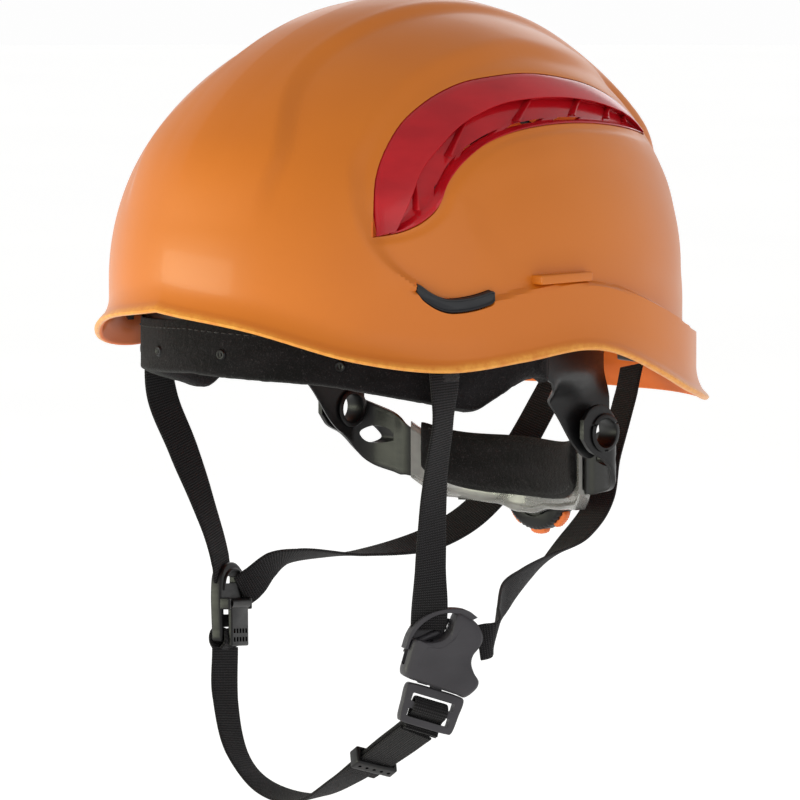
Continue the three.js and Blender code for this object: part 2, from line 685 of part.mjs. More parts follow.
// Housing: a channel open to the rear, closed by the cover plate.
function napeHousing() {
  const inside = 2.6;
  return slab(20, 1, 3, (a, b, c) => {
    const degrees = mix(-HOUSING_ARC, HOUSING_ARC, a);
    const half = housingHalf(degrees);
    const corners = [
      [[82.2, half - 1.6], [82.2, half]],
      [[NAPE.radius - 1.1, half - 1.6], [NAPE.radius - inside, half]],
      [[NAPE.radius - 1.1, 1.6 - half], [NAPE.radius - inside, -half]],
      [[82.2, 1.6 - half], [82.2, -half]],
    ];
    const [radius, up] = corners[Math.round(c * 3)][Math.round(b)];
    return napePoint(degrees, radius, housingMiddle(degrees) + up);
  });
}

function napeCover() {
  const plate = slab(20, 1, 1, (a, b, c) => {
    const degrees = mix(-HOUSING_ARC, HOUSING_ARC, a);
    const half = housingHalf(degrees) - 2.1;
    return napePoint(degrees, mix(81.2, 82.4, b), housingMiddle(degrees) + (c * 2 - 1) * half);
  });
  return cut(plate, shaftHole(4));
}

function shaftHole(radius) {
  const hole = new THREE.CylinderGeometry(radius, radius, 20, 20);
  hole.translate(0, NAPE.radius, NAPE.z);
  return hole;
}

function napePad() {
  return slab(18, 1, 4, (a, b, c) => {
    const degrees = mix(-37, 37, a);
    const round = 1 - Math.abs(2 * c - 1) ** 3;
    const radius = mix(NAPE.radius - 3.1, NAPE.radius - 4.5 - 3 * round, b);
    const top = 19.5 - 3.5 * (degrees / 37) ** 2;
    return napePoint(degrees, radius, housingMiddle(degrees) + mix(-3.5, top, c));
  });
}

// Gear teeth: trapezoids of one module, with a fifth of the tooth left out as backlash.
const MODULE = 0.8;
const PINION_TEETH = 10;
const PITCH_RADIUS = (MODULE * PINION_TEETH) / 2;

function pinion() {
  const outline = [];
  for (let i = 0; i < PINION_TEETH; i += 1) {
    const at = (turns) => ((i + turns) / PINION_TEETH) * 2 * Math.PI;
    const root = PITCH_RADIUS - 1.25 * MODULE;
    const tip = PITCH_RADIUS + 0.75 * MODULE;
    const corners = [[-0.28, root], [-0.1, tip], [0.1, tip], [0.28, root]];
    corners.forEach(([turns, radius]) => {
      outline.push([radius * Math.cos(at(turns)), radius * Math.sin(at(turns))]);
    });
  }
  const gear = prism(outline, 1.8);
  gear.rotateX(Math.PI / 2);
  gear.translate(0, NAPE.radius + 0.9, 0);
  const shaft = new THREE.CylinderGeometry(2.8, 2.8, 2.2, 20);
  shaft.translate(0, NAPE.radius + 1.6, 0);
  const whole = join(gear, shaft);
  whole.translate(0, 0, NAPE.z);
  return whole;
}

// Curved rack on the wearer's left, teeth downwards onto the top of the pinion.
function rack() {
  const pitch = (MODULE * Math.PI) / NAPE.radius;
  const first = THREE.MathUtils.degToRad(-7);
  const count = 17;
  const bar = slab(10, 1, 1, (a, b, c) => {
    const degrees = mix(-8, 25, a);
    const low = PITCH_RADIUS + 1.25 * MODULE;
    return napePoint(degrees, NAPE.radius + (b - 0.5) * 1.6, NAPE.z + mix(low, low + 1.8, c));
  });
  const firstTooth = Math.ceil(first / pitch);
  const teeth = Array.from({ length: count }, (_, i) => {
    const centre = (firstTooth + i) * pitch;
    return slab(1, 1, 1, (a, b, c) => {
      const halfTooth = mix(0.1, 0.3, c) * pitch;
      const turn = centre + (a * 2 - 1) * halfTooth;
      const z = NAPE.z + PITCH_RADIUS + MODULE * mix(-0.9, 1.4, c);
      return napePoint(THREE.MathUtils.radToDeg(turn), NAPE.radius + (b - 0.5) * 1.6, z);
    });
  });
  return join(bar, ...teeth);
}

const KNOB = { radius: 18, depth: 9, y: 83.4, segments: 8 };

function knobOutline(radius, wave, waves) {
  return Array.from({ length: 48 }, (_, i) => {
    const turn = (i / 48) * 2 * Math.PI;
    const r = radius + wave * Math.cos(turn * waves);
    return [r * Math.cos(turn), r * Math.sin(turn)];
  });
}

function facingRear(geometry, y) {
  geometry.rotateX(Math.PI / 2);
  geometry.translate(0, y, NAPE.z);
  return geometry;
}

function knob() {
  const body = facingRear(prism(knobOutline(KNOB.radius, 0.3, 16), KNOB.depth), KNOB.y + KNOB.depth);
  const hub = new THREE.CylinderGeometry(3, 3, 3, 20);
  hub.translate(0, KNOB.y + 1.2, NAPE.z);
  const recess = new THREE.CylinderGeometry(9, 9, 3, 32);
  recess.translate(0, KNOB.y + KNOB.depth, NAPE.z);
  const pocket = new THREE.LatheGeometry(ringProfile(4.2, 12.4, 3.2), 32);
  pocket.translate(0, KNOB.y + 1, NAPE.z);
  return cut(join(body, hub), recess, pocket);
}

function ringProfile(inner, outer, height) {
  const half = height / 2;
  const corners = [[inner, -half], [outer, -half], [outer, half], [inner, half], [inner, -half]];
  return corners.map(([r, y]) => new THREE.Vector2(r, y));
}

// Soft grip ring round the knob, standing out in short segments.
function knobGrip() {
  const outer = facingRear(prism(knobOutline(KNOB.radius + 1.6, 0.4, KNOB.segments), 4), KNOB.y + 6.5);
  const inner = facingRear(prism(circle(0, 0, KNOB.radius + 0.7, 48), 8), KNOB.y + 8);
  return cut(outer, inner);
}

function detentRing() {
  const ring = new THREE.LatheGeometry(ringProfile(9.4, 11.6, 1.6), 32);
  ring.translate(0, KNOB.y + 0.4, NAPE.z);
  return ring;
}

// ---------------------------------------------------------------- assembly
const group = new THREE.Group();

function add(name, geometry, material, parent = group) {
  const mesh = new THREE.Mesh(geometry, material);
  mesh.name = name;
  parent.add(mesh);
}

function addPair(name, geometry, material) {
  add(`${name}_left`, geometry, material);
  add(`${name}_right`, mirrored(geometry), material);
}

add('shell', shellGeometry(), ORANGE);
addPair('vent_insert', ventInsert(), RED);
addPair('slot_plug', slotPlug(), RUBBER);
add('rear_plate', rearPlate(), BLACK);

add('headband', headband(), BLACK);
add('sweatband', sweatband(), VELOUR);
CLIP_TURNS.forEach((degrees, i) => {
  add(`cradle_strap_${i + 1}`, cradleStrap(degrees, 2 * i), WEBBING);
  add(`cradle_clip_left_${i + 1}`, cradleClip(degrees), BLACK);
  add(`cradle_clip_right_${i + 1}`, mirrored(cradleClip(degrees)), BLACK);
});

add('front_anchor_left', anchorPlate(84.5, -57, 15, 1.16), BLACK);
add('front_anchor_right', anchorPlate(-84.5, -57, 15, -1.16), BLACK);
add('rear_anchor_left', anchorPlate(20, 124, -6.6, Math.PI - 0.19), BLACK);
add('rear_anchor_right', anchorPlate(-20, 124, -6.6, 0.19 - Math.PI), BLACK);

add('front_strap_left', strap(FRONT_LEFT, 12), WEBBING);
add('front_strap_right', strap(FRONT_RIGHT, 12), WEBBING);
add('rear_strap_left', strap(REAR_LEFT, 28), WEBBING);
add('rear_strap_right', strap(REAR_RIGHT, 28), WEBBING);
add('chin_strap', strap(CHIN, 26), WEBBING);
add('chin_strap_tail', strap(TAIL, 8), WEBBING);
add('strap_keeper', strapKeeper(), BLACK);

const buckle = buckleFrame();
add('buckle_female', buckleFemale(), BUCKLE, buckle);
add('buckle_male', buckleMale(), BUCKLE, buckle);
add('buckle_prong_rear', buckleProng(1), BUCKLE, buckle);
add('buckle_prong_front', buckleProng(-1), BUCKLE, buckle);
group.add(buckle);

const divider = dividerFrame();
add('divider_body', dividerBody(), BLACK, divider);
add('divider_lever', dividerLever(), BLACK, divider);
add('divider_pin', leverPin(), BLACK, divider);
group.add(divider);

addPair('nape_arm', napeArm(), BLACK);
addPair('pivot_rivet', pivotRivet(), BLACK);
add('nape_housing', napeHousing(), SMOKE);
add('nape_cover', napeCover(), SMOKE);
add('nape_pad', napePad(), VELOUR);
const leftRack = rack();
add('rack_left', leftRack, BLACK);
add('rack_right', warp(leftRack.clone(), (p) => vec(-p.x, p.y, 2 * NAPE.z - p.z)), BLACK);
add('pinion', pinion(), BLACK);
add('knob', knob(), BLACK);
add('knob_grip', knobGrip(), ACCENT);
add('detent_ring', detentRing(), BLACK);

export default group;
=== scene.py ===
import math

import bmesh
import bpy
import numpy as np
from mathutils import Matrix, Vector


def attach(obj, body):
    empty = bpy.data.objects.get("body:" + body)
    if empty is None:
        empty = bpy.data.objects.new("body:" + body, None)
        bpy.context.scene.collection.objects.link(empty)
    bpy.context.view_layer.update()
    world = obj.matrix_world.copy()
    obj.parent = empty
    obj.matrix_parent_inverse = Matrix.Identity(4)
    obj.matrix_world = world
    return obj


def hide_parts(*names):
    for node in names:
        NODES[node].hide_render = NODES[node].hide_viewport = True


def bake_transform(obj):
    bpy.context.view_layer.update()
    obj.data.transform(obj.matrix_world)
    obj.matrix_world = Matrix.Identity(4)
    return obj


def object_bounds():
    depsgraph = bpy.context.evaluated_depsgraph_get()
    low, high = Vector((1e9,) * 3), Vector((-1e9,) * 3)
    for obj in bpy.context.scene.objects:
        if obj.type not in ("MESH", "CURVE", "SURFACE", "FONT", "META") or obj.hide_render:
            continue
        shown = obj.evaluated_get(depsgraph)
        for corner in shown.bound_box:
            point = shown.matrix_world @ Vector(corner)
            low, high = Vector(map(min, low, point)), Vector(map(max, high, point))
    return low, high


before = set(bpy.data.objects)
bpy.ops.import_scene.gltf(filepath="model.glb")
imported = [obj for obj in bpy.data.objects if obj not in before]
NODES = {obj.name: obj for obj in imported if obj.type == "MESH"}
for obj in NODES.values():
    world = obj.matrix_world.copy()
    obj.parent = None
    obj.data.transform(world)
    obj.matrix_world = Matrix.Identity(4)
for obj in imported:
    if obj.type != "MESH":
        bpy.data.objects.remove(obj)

cad_box = [list(corner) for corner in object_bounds()]
MM = 0.001

# ------------------------------------------------------------------ dimensions, millimetres, as in the CAD
HALF_LENGTH, HALF_WIDTH, SHELL_SHIFT = 136.0, 104.0, 4.0
EQUATOR, RISE, APEX_SHIFT = 30.0, 112.0, 3.0
DOME_ARC = 172.0
WALL, PANEL_DEPTH, SKIRT_PROUD, CREST_HEIGHT = 2.8, 2.5, 3.5, 3.0
GAP = 0.5
BAND_X, BAND_Y, BAND_SHIFT, BAND_THICK = 83.0, 109.0, -8.0, 1.8
EAR_X = 72.0
NAPE_RADIUS, NAPE_Z = 80.0, -67.0
PIVOT_X, PIVOT_Y, PIVOT_Z = 75.0, 44.5, -35.0
WEB_WIDTH, WEB_THICK = 15.0, 1.3


# ------------------------------------------------------------------ numbers
def smooth(x, low, high):
    t = np.clip((np.asarray(x, float) - low) / (high - low), 0, 1)
    return t * t * (3 - 2 * t)


def mix(a, b, t):
    return a + (b - a) * t


def profile(points):
    """Smooth curve of height over position, through given points (position, height)."""
    xs, ys = np.array(points, float).T
    last = len(xs) - 1
    before = np.maximum(np.arange(len(xs)) - 1, 0)
    after = np.minimum(np.arange(len(xs)) + 1, last)
    slope = (ys[after] - ys[before]) / (xs[after] - xs[before])

    def height(x):
        x = np.clip(np.asarray(x, float), xs[0], xs[last])
        i = np.clip(np.searchsorted(xs, x, side="right") - 1, 0, last - 1)
        span = xs[i + 1] - xs[i]
        t = (x - xs[i]) / span
        s = 1 - t
        start = ys[i] * (1 + 2 * t) + slope[i] * span * t
        end = ys[i + 1] * (1 + 2 * s) - slope[i + 1] * span * s
        return start * s * s + end * t * t

    return height


def catmull(points, count, closed=False):
    """Points on a Catmull-Rom curve through given points, spread evenly over its spans."""
    pts = np.array(points, float)
    n = len(pts)
    spans = n if closed else n - 1
    at = np.linspace(0, spans, count, endpoint=not closed)
    i = np.minimum(at.astype(int), spans - 1)
    t = (at - i)[:, None]

    def pick(k):
        return pts[k % n] if closed else pts[np.clip(k, 0, n - 1)]

    a, b, c, d = pick(i - 1), pick(i), pick(i + 1), pick(i + 2)
    if not closed:
        first, final = i == 0, i == spans - 1
        a = np.where(first[:, None], 2 * b - c, a)
        d = np.where(final[:, None], 2 * c - b, d)
    return 0.5 * (2 * b + (c - a) * t + (2 * a - 5 * b + 4 * c - d) * t**2 + (3 * b - a - 3 * c + d) * t**3)


def loop_distance(y, z, loop):
    """Distance inside (positive) or outside (negative) a closed outline, for arrays of points."""
    nearest = np.full(y.shape, 1e9)
    inside = np.zeros(y.shape, bool)
    for (ay, az), (by, bz) in zip(loop, np.roll(loop, -1, axis=0)):
        crosses = (az > z) != (bz > z)
        with np.errstate(divide="ignore", invalid="ignore"):
            inside ^= crosses & (y < (by - ay) * (z - az) / (bz - az) + ay)
        length2 = max((by - ay) ** 2 + (bz - az) ** 2, 1e-9)
        t = np.clip(((y - ay) * (by - ay) + (z - az) * (bz - az)) / length2, 0, 1)
        nearest = np.minimum(nearest, np.hypot(y - mix(ay, by, t), z - mix(az, bz, t)))
    return np.where(inside, nearest, -nearest)


# ------------------------------------------------------------------ shell surface, as in the CAD
rim_height = profile([(0, 22.5), (17, 16.5), (36, 4.2), (54, -1), (72, 1.8), (87, 5), (96, 4), (105, -0.5),
                      (117, -9), (130, -18), (147, -25), (180, -27)])
ledge_height = profile([(-73, 31), (-57, 23), (-40, 26.5), (-20, 31), (0, 31.8), (20, 29.5), (48, 22),
                        (75, 12.5),
                        (100, 5), (140, 2)])
brim_flare = profile([(0, 5), (40, 5), (60, 2.5), (110, 2.5), (140, 4.5), (180, 5)])
PANEL_EDGE = [(-70.5, 32), (-81.5, 42), (-87.5, 55), (-87.5, 70), (-80.5, 86), (-56.5, 107), (-24.5, 120),
              (13.5, 125.5), (43.5, 122), (73.5, 115), (103.5, 104), (128.5, 92), (163.5, 90)]
VENT_UPPER = [(-85.5, 52.5), (-78, 76.5), (-63.5, 94), (-46, 105), (-26, 112), (-6.5, 114.5), (13.5, 115),
              (34.5, 112.5), (55.5, 108), (77.5, 99.5), (96.5, 87.5)]
VENT_LOWER = [(-80.5, 53), (-73.5, 54.5), (-65.5, 58), (-58.5, 63.5), (-52.5, 72.5), (-43.5, 80.5),
              (-29.5, 88), (-8.5, 93),
              (19.5, 94.5), (53.5, 92), (95.5, 85.5)]
ledge_line = np.linspace(160, -74, 60)
panel_loop = np.vstack([catmull(PANEL_EDGE, 90), np.column_stack([ledge_line, ledge_height(ledge_line)])])


def apex_shift(z):
    return SHELL_SHIFT + APEX_SHIFT * smooth(z, 70, 140)


def relief(x, y, z):
    """How far the finished surface stands out from the plain dome."""
    edge = mix(2.2, 7.0, smooth(z, 36, 50))
    panel = smooth(loop_distance(y, z, panel_loop) / edge, -0.5, 0.5)
    skirt = SKIRT_PROUD * smooth(y, -60, 90) * (1 - smooth(z, 45, 65))
    side = mix(skirt, -PANEL_DEPTH, panel)
    half_band = 21 + 17 * smooth(125 - z, 0, 45)
    crest = (1 - smooth(np.abs(x) - half_band, -3, 5)) * smooth(z, 55, 90)
    keel = 0.8 * np.clip(1 - np.abs(x) / 15, 0, 1)
    return mix(side, CREST_HEIGHT + keel, crest)


def shell_point(turn, down, depth, drop=0.0, stand_out=relief):
    """turn: plan angle from the front; down: 0 at the crown, 1 at the rim; depth: inside the outer face."""
    azimuth = np.arctan2(HALF_WIDTH * np.sin(turn), HALF_LENGTH * np.cos(turn))
    degrees = np.abs(np.degrees(azimuth))
    rim = rim_height(degrees)
    travel = down * (DOME_ARC + EQUATOR - rim)
    tilt = np.minimum(travel / DOME_ARC, 1) * (math.pi / 2)
    z = EQUATOR + RISE * np.cos(tilt) - np.maximum(travel - DOME_ARC, 0)
    x = HALF_WIDTH * np.sin(turn) * np.sin(tilt)
    y = -HALF_LENGTH * np.cos(turn) * np.sin(tilt) + apex_shift(z)
    out = np.stack([x / HALF_WIDTH**2, (y - apex_shift(z)) / HALF_LENGTH**2,
                    np.maximum(z - EQUATOR, 0) / RISE**2], -1)
    out /= np.linalg.norm(out, axis=-1, keepdims=True)
    lip = np.clip(1 - (z - rim) / 13, 0, None)
    bead = 0.8 * (1 - smooth(z - rim, 1.2, 3.4)) * (1 - depth / WALL)
    push = stand_out(x, y, z) - depth + bead + brim_flare(degrees) * lip * lip
    place = np.stack([x, y, z], -1) + out * push[..., None]
    place[..., 2] -= drop
    return place


# ------------------------------------------------------------------ node materials
class Look:
    """A node material being put together: each call adds a node and gives back its output."""

    def __init__(self, name, **sockets):
        self.material = bpy.data.materials.new(name)
        self.material.use_nodes = True
        self.tree = self.material.node_tree
        self.shader = self.tree.nodes["Principled BSDF"]
        for socket, value in sockets.items():
            self.shader.inputs[socket.replace("_", " ")].default_value = value

    def node(self, kind, *inputs, out=0, **settings):
        made = self.tree.nodes.new(kind)
        for key, value in settings.items():
            setattr(made, key, value)
        for place, value in enumerate(inputs):
            self.join(value, made.inputs[place])
        return made.outputs[out]

    def join(self, value, socket):
        if isinstance(value, bpy.types.NodeSocket):
            self.tree.links.new(value, socket)
        elif value is not None:
            socket.default_value = value

    def math(self, operation, *inputs):
        return self.node("ShaderNodeMath", *inputs, operation=operation)

    def place(self, stretch=(1, 1, 1)):
        where = self.node("ShaderNodeTexCoord", out=3)
        return self.node("ShaderNodeVectorMath", where, stretch, operation="MULTIPLY")

    def noise(self, where, scale, detail=3.0, rough=0.5, out=0):
        return self.node("ShaderNodeTexNoise", where, None, scale, detail, rough, out=out)

    def spread(self, value, low, high, start=0.0, end=1.0):
        return self.node("ShaderNodeMapRange", value, low, high, start, end)

    def blend(self, factor, first, second):
        made = self.tree.nodes.new("ShaderNodeMix")
        made.data_type = "RGBA"
        self.join(factor, made.inputs[0])
        self.join(first, made.inputs[6])
        self.join(second, made.inputs[7])
        return made.outputs[2]

    def bump(self, height, distance, strength=1.0, over=None):
        made = self.tree.nodes.new("ShaderNodeBump")
        made.inputs["Strength"].default_value = strength
        made.inputs["Distance"].default_value = distance * MM
        self.join(height, made.inputs["Height"])
        if over is not None:
            self.join(over, made.inputs["Normal"])
        return made.outputs[0]

    def finish(self, color=None, roughness=None, normal=None):
        self.join(color, self.shader.inputs["Base Color"])
        self.join(roughness, self.shader.inputs["Roughness"])
        if normal is not None:
            self.join(normal, self.shader.inputs["Normal"])
        return self.material


def rgb(red, green, blue):
    """A colour from its values in sRGB, 0 to 255."""
    def linear(value):
        share = value / 255
        return share / 12.92 if share <= 0.04045 else ((share + 0.055) / 1.055) ** 2.4
    return (linear(red), linear(green), linear(blue), 1.0)


def moulded(name, color, deep, roughness, grain_mm, grain_depth, **sockets):
    """Moulded plastic: a slightly uneven colour, fine surface grain, and faint rubbed patches."""
    look = Look(name, **sockets)
    where = look.place()
    cloudy = look.noise(where, 40, 2)
    tint = look.blend(look.spread(cloudy, 0.35, 0.65), color, deep)
    grain = look.noise(where, 1000 / grain_mm, 2, 0.6)
    rubbed = look.noise(look.place((1, 1, 4)), 120, 4, 0.7)
    gloss = look.spread(rubbed, 0.35, 0.7, roughness + 0.07, roughness - 0.05)
    return look.finish(tint, gloss, look.bump(grain, grain_depth))


def shell_look():
    """Glossy injection-moulded shell: orange-peel skin, hairline scratches, a rim painted paler as a painted
    highlight broken up by scuff noise, and inner faces painted brighter as a painted glow.
    """
    look = Look("shell_plastic", Coat_Weight=0.12, Coat_Roughness=0.1, Specular_IOR_Level=0.36)
    where = look.place()
    cloudy = look.noise(where, 14, 2)
    tint = look.blend(look.spread(cloudy, 0.3, 0.7), rgb(206, 114, 25), rgb(199, 108, 22))
    # The rim is painted paler: a painted highlight along the edge, partly broken up by scuff noise as wear.
    edge = look.node("ShaderNodeAttribute", attribute_name="edge", out=2)
    scuffs = look.noise(where, 260, 5, 0.7)
    wear_and_highlight = look.math("MULTIPLY", edge, look.spread(scuffs, 0.35, 0.7, 0.25, 0.9))
    tint = look.blend(wear_and_highlight, tint, rgb(236, 170, 70))
    # Inner faces painted a brighter, redder orange: a painted glow of light shining through the shell.
    inside = look.node("ShaderNodeAttribute", attribute_name="inside", out=2)
    tint = look.blend(inside, tint, rgb(232, 112, 34))
    peel = look.noise(where, 420, 1)
    wander = look.noise(where, 9, 1, out=1)
    bent = look.node("ShaderNodeVectorMath", where, wander, operation="ADD")
    lines = look.noise(look.node("ShaderNodeVectorMath", bent, (1, 14, 60), operation="MULTIPLY"), 38, 1,
                       0.4)
    scratches = look.spread(lines, 0.70, 0.74)
    gloss = look.math("ADD", look.spread(cloudy, 0.3, 0.7, 0.36, 0.42),
                      look.math("MULTIPLY", scratches, 0.10))
    gloss = look.math("ADD", gloss, look.math("MULTIPLY", inside, 0.4))
    bumps = look.bump(scratches, -0.01, 0.35, look.bump(peel, 0.012, 0.5))
    return look.finish(tint, gloss, bumps)


def vent_look():
    look = Look("vent_plastic", Coat_Weight=0.15, Coat_Roughness=0.08, Transmission_Weight=0.1, IOR=1.49,
                Specular_IOR_Level=0.35, Subsurface_Weight=0.2, Subsurface_Scale=0.004,
                Subsurface_Radius=(1.0, 0.1, 0.1))
    where = look.place()
    flow = look.noise(look.place((1, 1, 3)), 30, 3)
    tint = look.blend(look.spread(flow, 0.35, 0.65), rgb(196, 24, 34), rgb(176, 16, 28))
    return look.finish(tint, look.spread(flow, 0.3, 0.7, 0.14, 0.22),
                       look.bump(look.noise(where, 500, 1), 0.01, 0.5))


def webbing_look():
    """Woven polyester tape: weft ribs across it, staggered warp stitches, and painted highlights on the yarn
    crests.
    """
    look = Look("webbing", Sheen_Weight=0.06, Sheen_Roughness=0.4, Specular_IOR_Level=0.25)
    tape = look.node("ShaderNodeAttribute", attribute_name="tape", out=1)
    across = look.node("ShaderNodeSeparateXYZ", tape, out=0)
    along = look.node("ShaderNodeSeparateXYZ", tape, out=1)
    turn = 2 * math.pi
    warp = look.math("SINE", look.math("MULTIPLY", across, turn / 0.9))
    shifted = look.math("ADD", look.math("MULTIPLY", along, turn / 1.1), look.math("MULTIPLY", warp, 0.9))
    weft = look.math("SINE", shifted)
    yarn = look.math("ADD", look.math("MULTIPLY", weft, 0.5), look.math("MULTIPLY", warp, 0.25))
    where = look.place()
    fuzz = look.noise(where, 2600, 3, 0.7)
    height = look.math("ADD", yarn, look.math("MULTIPLY", fuzz, 0.7))
    # Yarn crests painted paler and the hollows between them darker: painted highlights and painted shade in
    # the weave.
    painted_crest_highlight = look.spread(height, 0.1, 1.2)
    tint = look.blend(painted_crest_highlight, rgb(9, 8, 9), rgb(46, 44, 46))
    patchy = look.noise(where, 60, 2)
    tint = look.blend(look.spread(patchy, 0.4, 0.7, 0, 0.35), tint, rgb(13, 12, 13))
    return look.finish(tint, look.spread(painted_crest_highlight, 0, 1, 0.9, 0.65), look.bump(height, 0.22, 0.9))


def velour_look():
    """Brushed loop velour over foam: dense short pile with lint-pale fibre tips and brushed patches."""
    look = Look("velour", Sheen_Weight=0.08, Sheen_Roughness=0.5, Specular_IOR_Level=0.12)
    where = look.place()
    pile = look.noise(where, 1500, 4, 0.8)
    tufts = look.noise(where, 420, 2)
    tips = look.math("MULTIPLY", look.spread(pile, 0.54, 0.7), look.spread(tufts, 0.35, 0.65, 0.2, 1))
    brushed = look.noise(look.place((1, 1, 3)), 45, 3)
    base = look.blend(look.spread(brushed, 0.35, 0.65), rgb(12, 11, 12), rgb(22, 20, 22))
    tint = look.blend(tips, base, rgb(66, 62, 64))
    height = look.math("ADD", pile, look.math("MULTIPLY", tufts, 1.2))
    return look.finish(tint, 0.95, look.bump(height, 0.5, 0.8))


def smoke_look():
    look = Look("smoke_plastic", Transmission_Weight=0.62, IOR=1.45, Coat_Weight=0.35, Coat_Roughness=0.04)
    where = look.place()
    haze = look.noise(where, 60, 3)
    tint = look.blend(look.spread(haze, 0.35, 0.65), rgb(190, 188, 185), rgb(150, 148, 147))
    scuffs = look.noise(look.place((1, 1, 5)), 200, 4, 0.7)
    return look.finish(tint, look.spread(scuffs, 0.35, 0.7, 0.08, 0.2), look.bump(scuffs, 0.008, 0.2))


def steel_look():
    look = Look("pin_steel", Metallic=1.0)
    brushed = look.noise(look.place((4, 1, 4)), 300, 3)
    tint = look.blend(brushed, rgb(150, 150, 152), rgb(105, 105, 108))
    return look.finish(tint, look.spread(brushed, 0.3, 0.7, 0.22, 0.4), look.bump(brushed, 0.02, 0.5))


def thread_look():
    """Sewing thread: two plies twisted together."""
    look = Look("thread", Sheen_Weight=0.2, Specular_IOR_Level=0.4)
    where = look.place()
    ply = look.noise(where, 2200, 2)
    tint = look.blend(look.spread(ply, 0.35, 0.65), rgb(22, 21, 22), rgb(52, 50, 52))
    return look.finish(tint, 0.75, look.bump(ply, 0.1, 0.7))


SHELL = shell_look()
RED = vent_look()
WEBBING = webbing_look()
VELOUR = velour_look()
SMOKE = smoke_look()
STEEL = steel_look()
THREAD = thread_look()
RUBBER = moulded("plug_rubber", rgb(30, 32, 36), rgb(24, 25, 29), 0.38, 0.5, 0.05, Specular_IOR_Level=0.4)
BLACK = moulded("black_plastic", rgb(15, 14, 15), rgb(11, 11, 12), 0.34, 0.45, 0.03, Specular_IOR_Level=0.3)
GREY = moulded("buckle_plastic", rgb(58, 56, 60), rgb(48, 46, 50), 0.46, 0.35, 0.05,
               Specular_IOR_Level=0.35)
PLATE = moulded("plate_plastic", rgb(38, 38, 40), rgb(30, 30, 32), 0.45, 0.5, 0.04)
ACCENT = moulded("accent_plastic", rgb(228, 116, 40), rgb(214, 100, 30), 0.34, 0.6, 0.03)


# ------------------------------------------------------------------ mesh tools
def block(na, nb, nc):
    """Lattice on a box's surface: coordinates from 0 to 1, and the quads between them."""
    counts = (na, nb, nc)
    quads = []
    for axis in range(3):
        u, v = [k for k in range(3) if k != axis]
        for side in (0, counts[axis]):
            i, j = np.meshgrid(range(counts[u]), range(counts[v]), indexing="ij")
            corner = np.zeros((i.size, 4, 3), int)
            corner[:, :, axis] = side
            for k, (du, dv) in enumerate([(0, 0), (1, 0), (1, 1), (0, 1)]):
                corner[:, k, u] = i.ravel() + du
                corner[:, k, v] = j.ravel() + dv
            quads.append(corner)
    corners = np.concatenate(quads).reshape(-1, 3)
    lattice, index = np.unique(corners, axis=0, return_inverse=True)
    return lattice / np.array(counts), index.reshape(-1, 4)


def loft(rings, closed=False):
    """Skin over rings of points, one after another; the ends are capped unless the rings close up."""
    count, size = rings.shape[:2]
    last = count if closed else count - 1
    i, j = np.meshgrid(range(last), range(size), indexing="ij")
    after, beside = (i + 1) % count, (j + 1) % size
    quads = np.stack([i * size + j, i * size + beside, after * size + beside, after * size + j], -1)
    faces = quads.reshape(-1, 4).tolist()
    if not closed:
        faces += [list(range(size)), list(range((count - 1) * size, count * size))]
    return rings.reshape(-1, 3), faces


def shaped(name, places, faces, crease=40):
    """A mesh object from points in millimetres, smooth except at edges sharper than crease degrees."""
    mesh = bpy.data.meshes.new(name)
    faces = faces.tolist() if hasattr(faces, "tolist") else faces
    mesh.from_pydata((np.asarray(places) * MM).tolist(), [], faces)
    work = bmesh.new()
    work.from_mesh(mesh)
    bmesh.ops.remove_doubles(work, verts=work.verts, dist=1e-6)
    bmesh.ops.recalc_face_normals(work, faces=work.faces)
    work.to_mesh(mesh)
    work.free()
    obj = bpy.data.objects.new(name, mesh)
    bpy.context.scene.collection.objects.link(obj)
    soften(obj, crease)
    return obj


def soften(obj, crease):
    obj.data.polygons.foreach_set("use_smooth", [True] * len(obj.data.polygons))
    obj.data.set_sharp_from_angle(angle=math.radians(crease))


def apply_modifiers(obj):
    bpy.context.view_layer.update()
    graph = bpy.context.evaluated_depsgraph_get()
    mesh = bpy.data.meshes.new_from_object(obj.evaluated_get(graph))
    obj.modifiers.clear()
    obj.data = mesh


def carve(obj, *tools, join=False):
    """Cuts the tools out of obj, or joins them to it, and removes them."""
    for tool in tools:
        modifier = obj.modifiers.new("carve", "BOOLEAN")
        modifier.operation = "UNION" if join else "DIFFERENCE"
        modifier.solver = "MANIFOLD"
        modifier.object = tool
    apply_modifiers(obj)
    for tool in tools:
        bpy.data.objects.remove(tool)
    return obj


def rounded(obj, width):
    """Rolls the sharp edges over a radius."""
    modifier = obj.modifiers.new("round", "BEVEL")
    modifier.width = width * MM
    modifier.segments = 3
    modifier.angle_limit = math.radians(35)
    modifier.limit_method = "ANGLE"
    apply_modifiers(obj)
    soften(obj, 40)
    return obj


def combined(name, parts, crease=40):
    """Several objects as one mesh object."""
    work = bmesh.new()
    for part in parts:
        part.data.transform(part.matrix_world)
        work.from_mesh(part.data)
    mesh = bpy.data.meshes.new(name)
    work.to_mesh(mesh)
    work.free()
    for part in parts:
        bpy.data.objects.remove(part)
    obj = bpy.data.objects.new(name, mesh)
    bpy.context.scene.collection.objects.link(obj)
    soften(obj, crease)
    return obj


def prism(name, outline, low, high):
    """A solid of an outline in x and y, between two heights."""
    outline = np.asarray(outline, float)
    rings = [np.column_stack([outline, np.full(len(outline), z)]) for z in (low, high)]
    return shaped(name, *loft(np.array(rings)))


def box(name, size, at=(0, 0, 0)):
    lattice, faces = block(1, 1, 1)
    return shaped(name, (lattice - 0.5) * np.array(size) + np.array(at), faces)


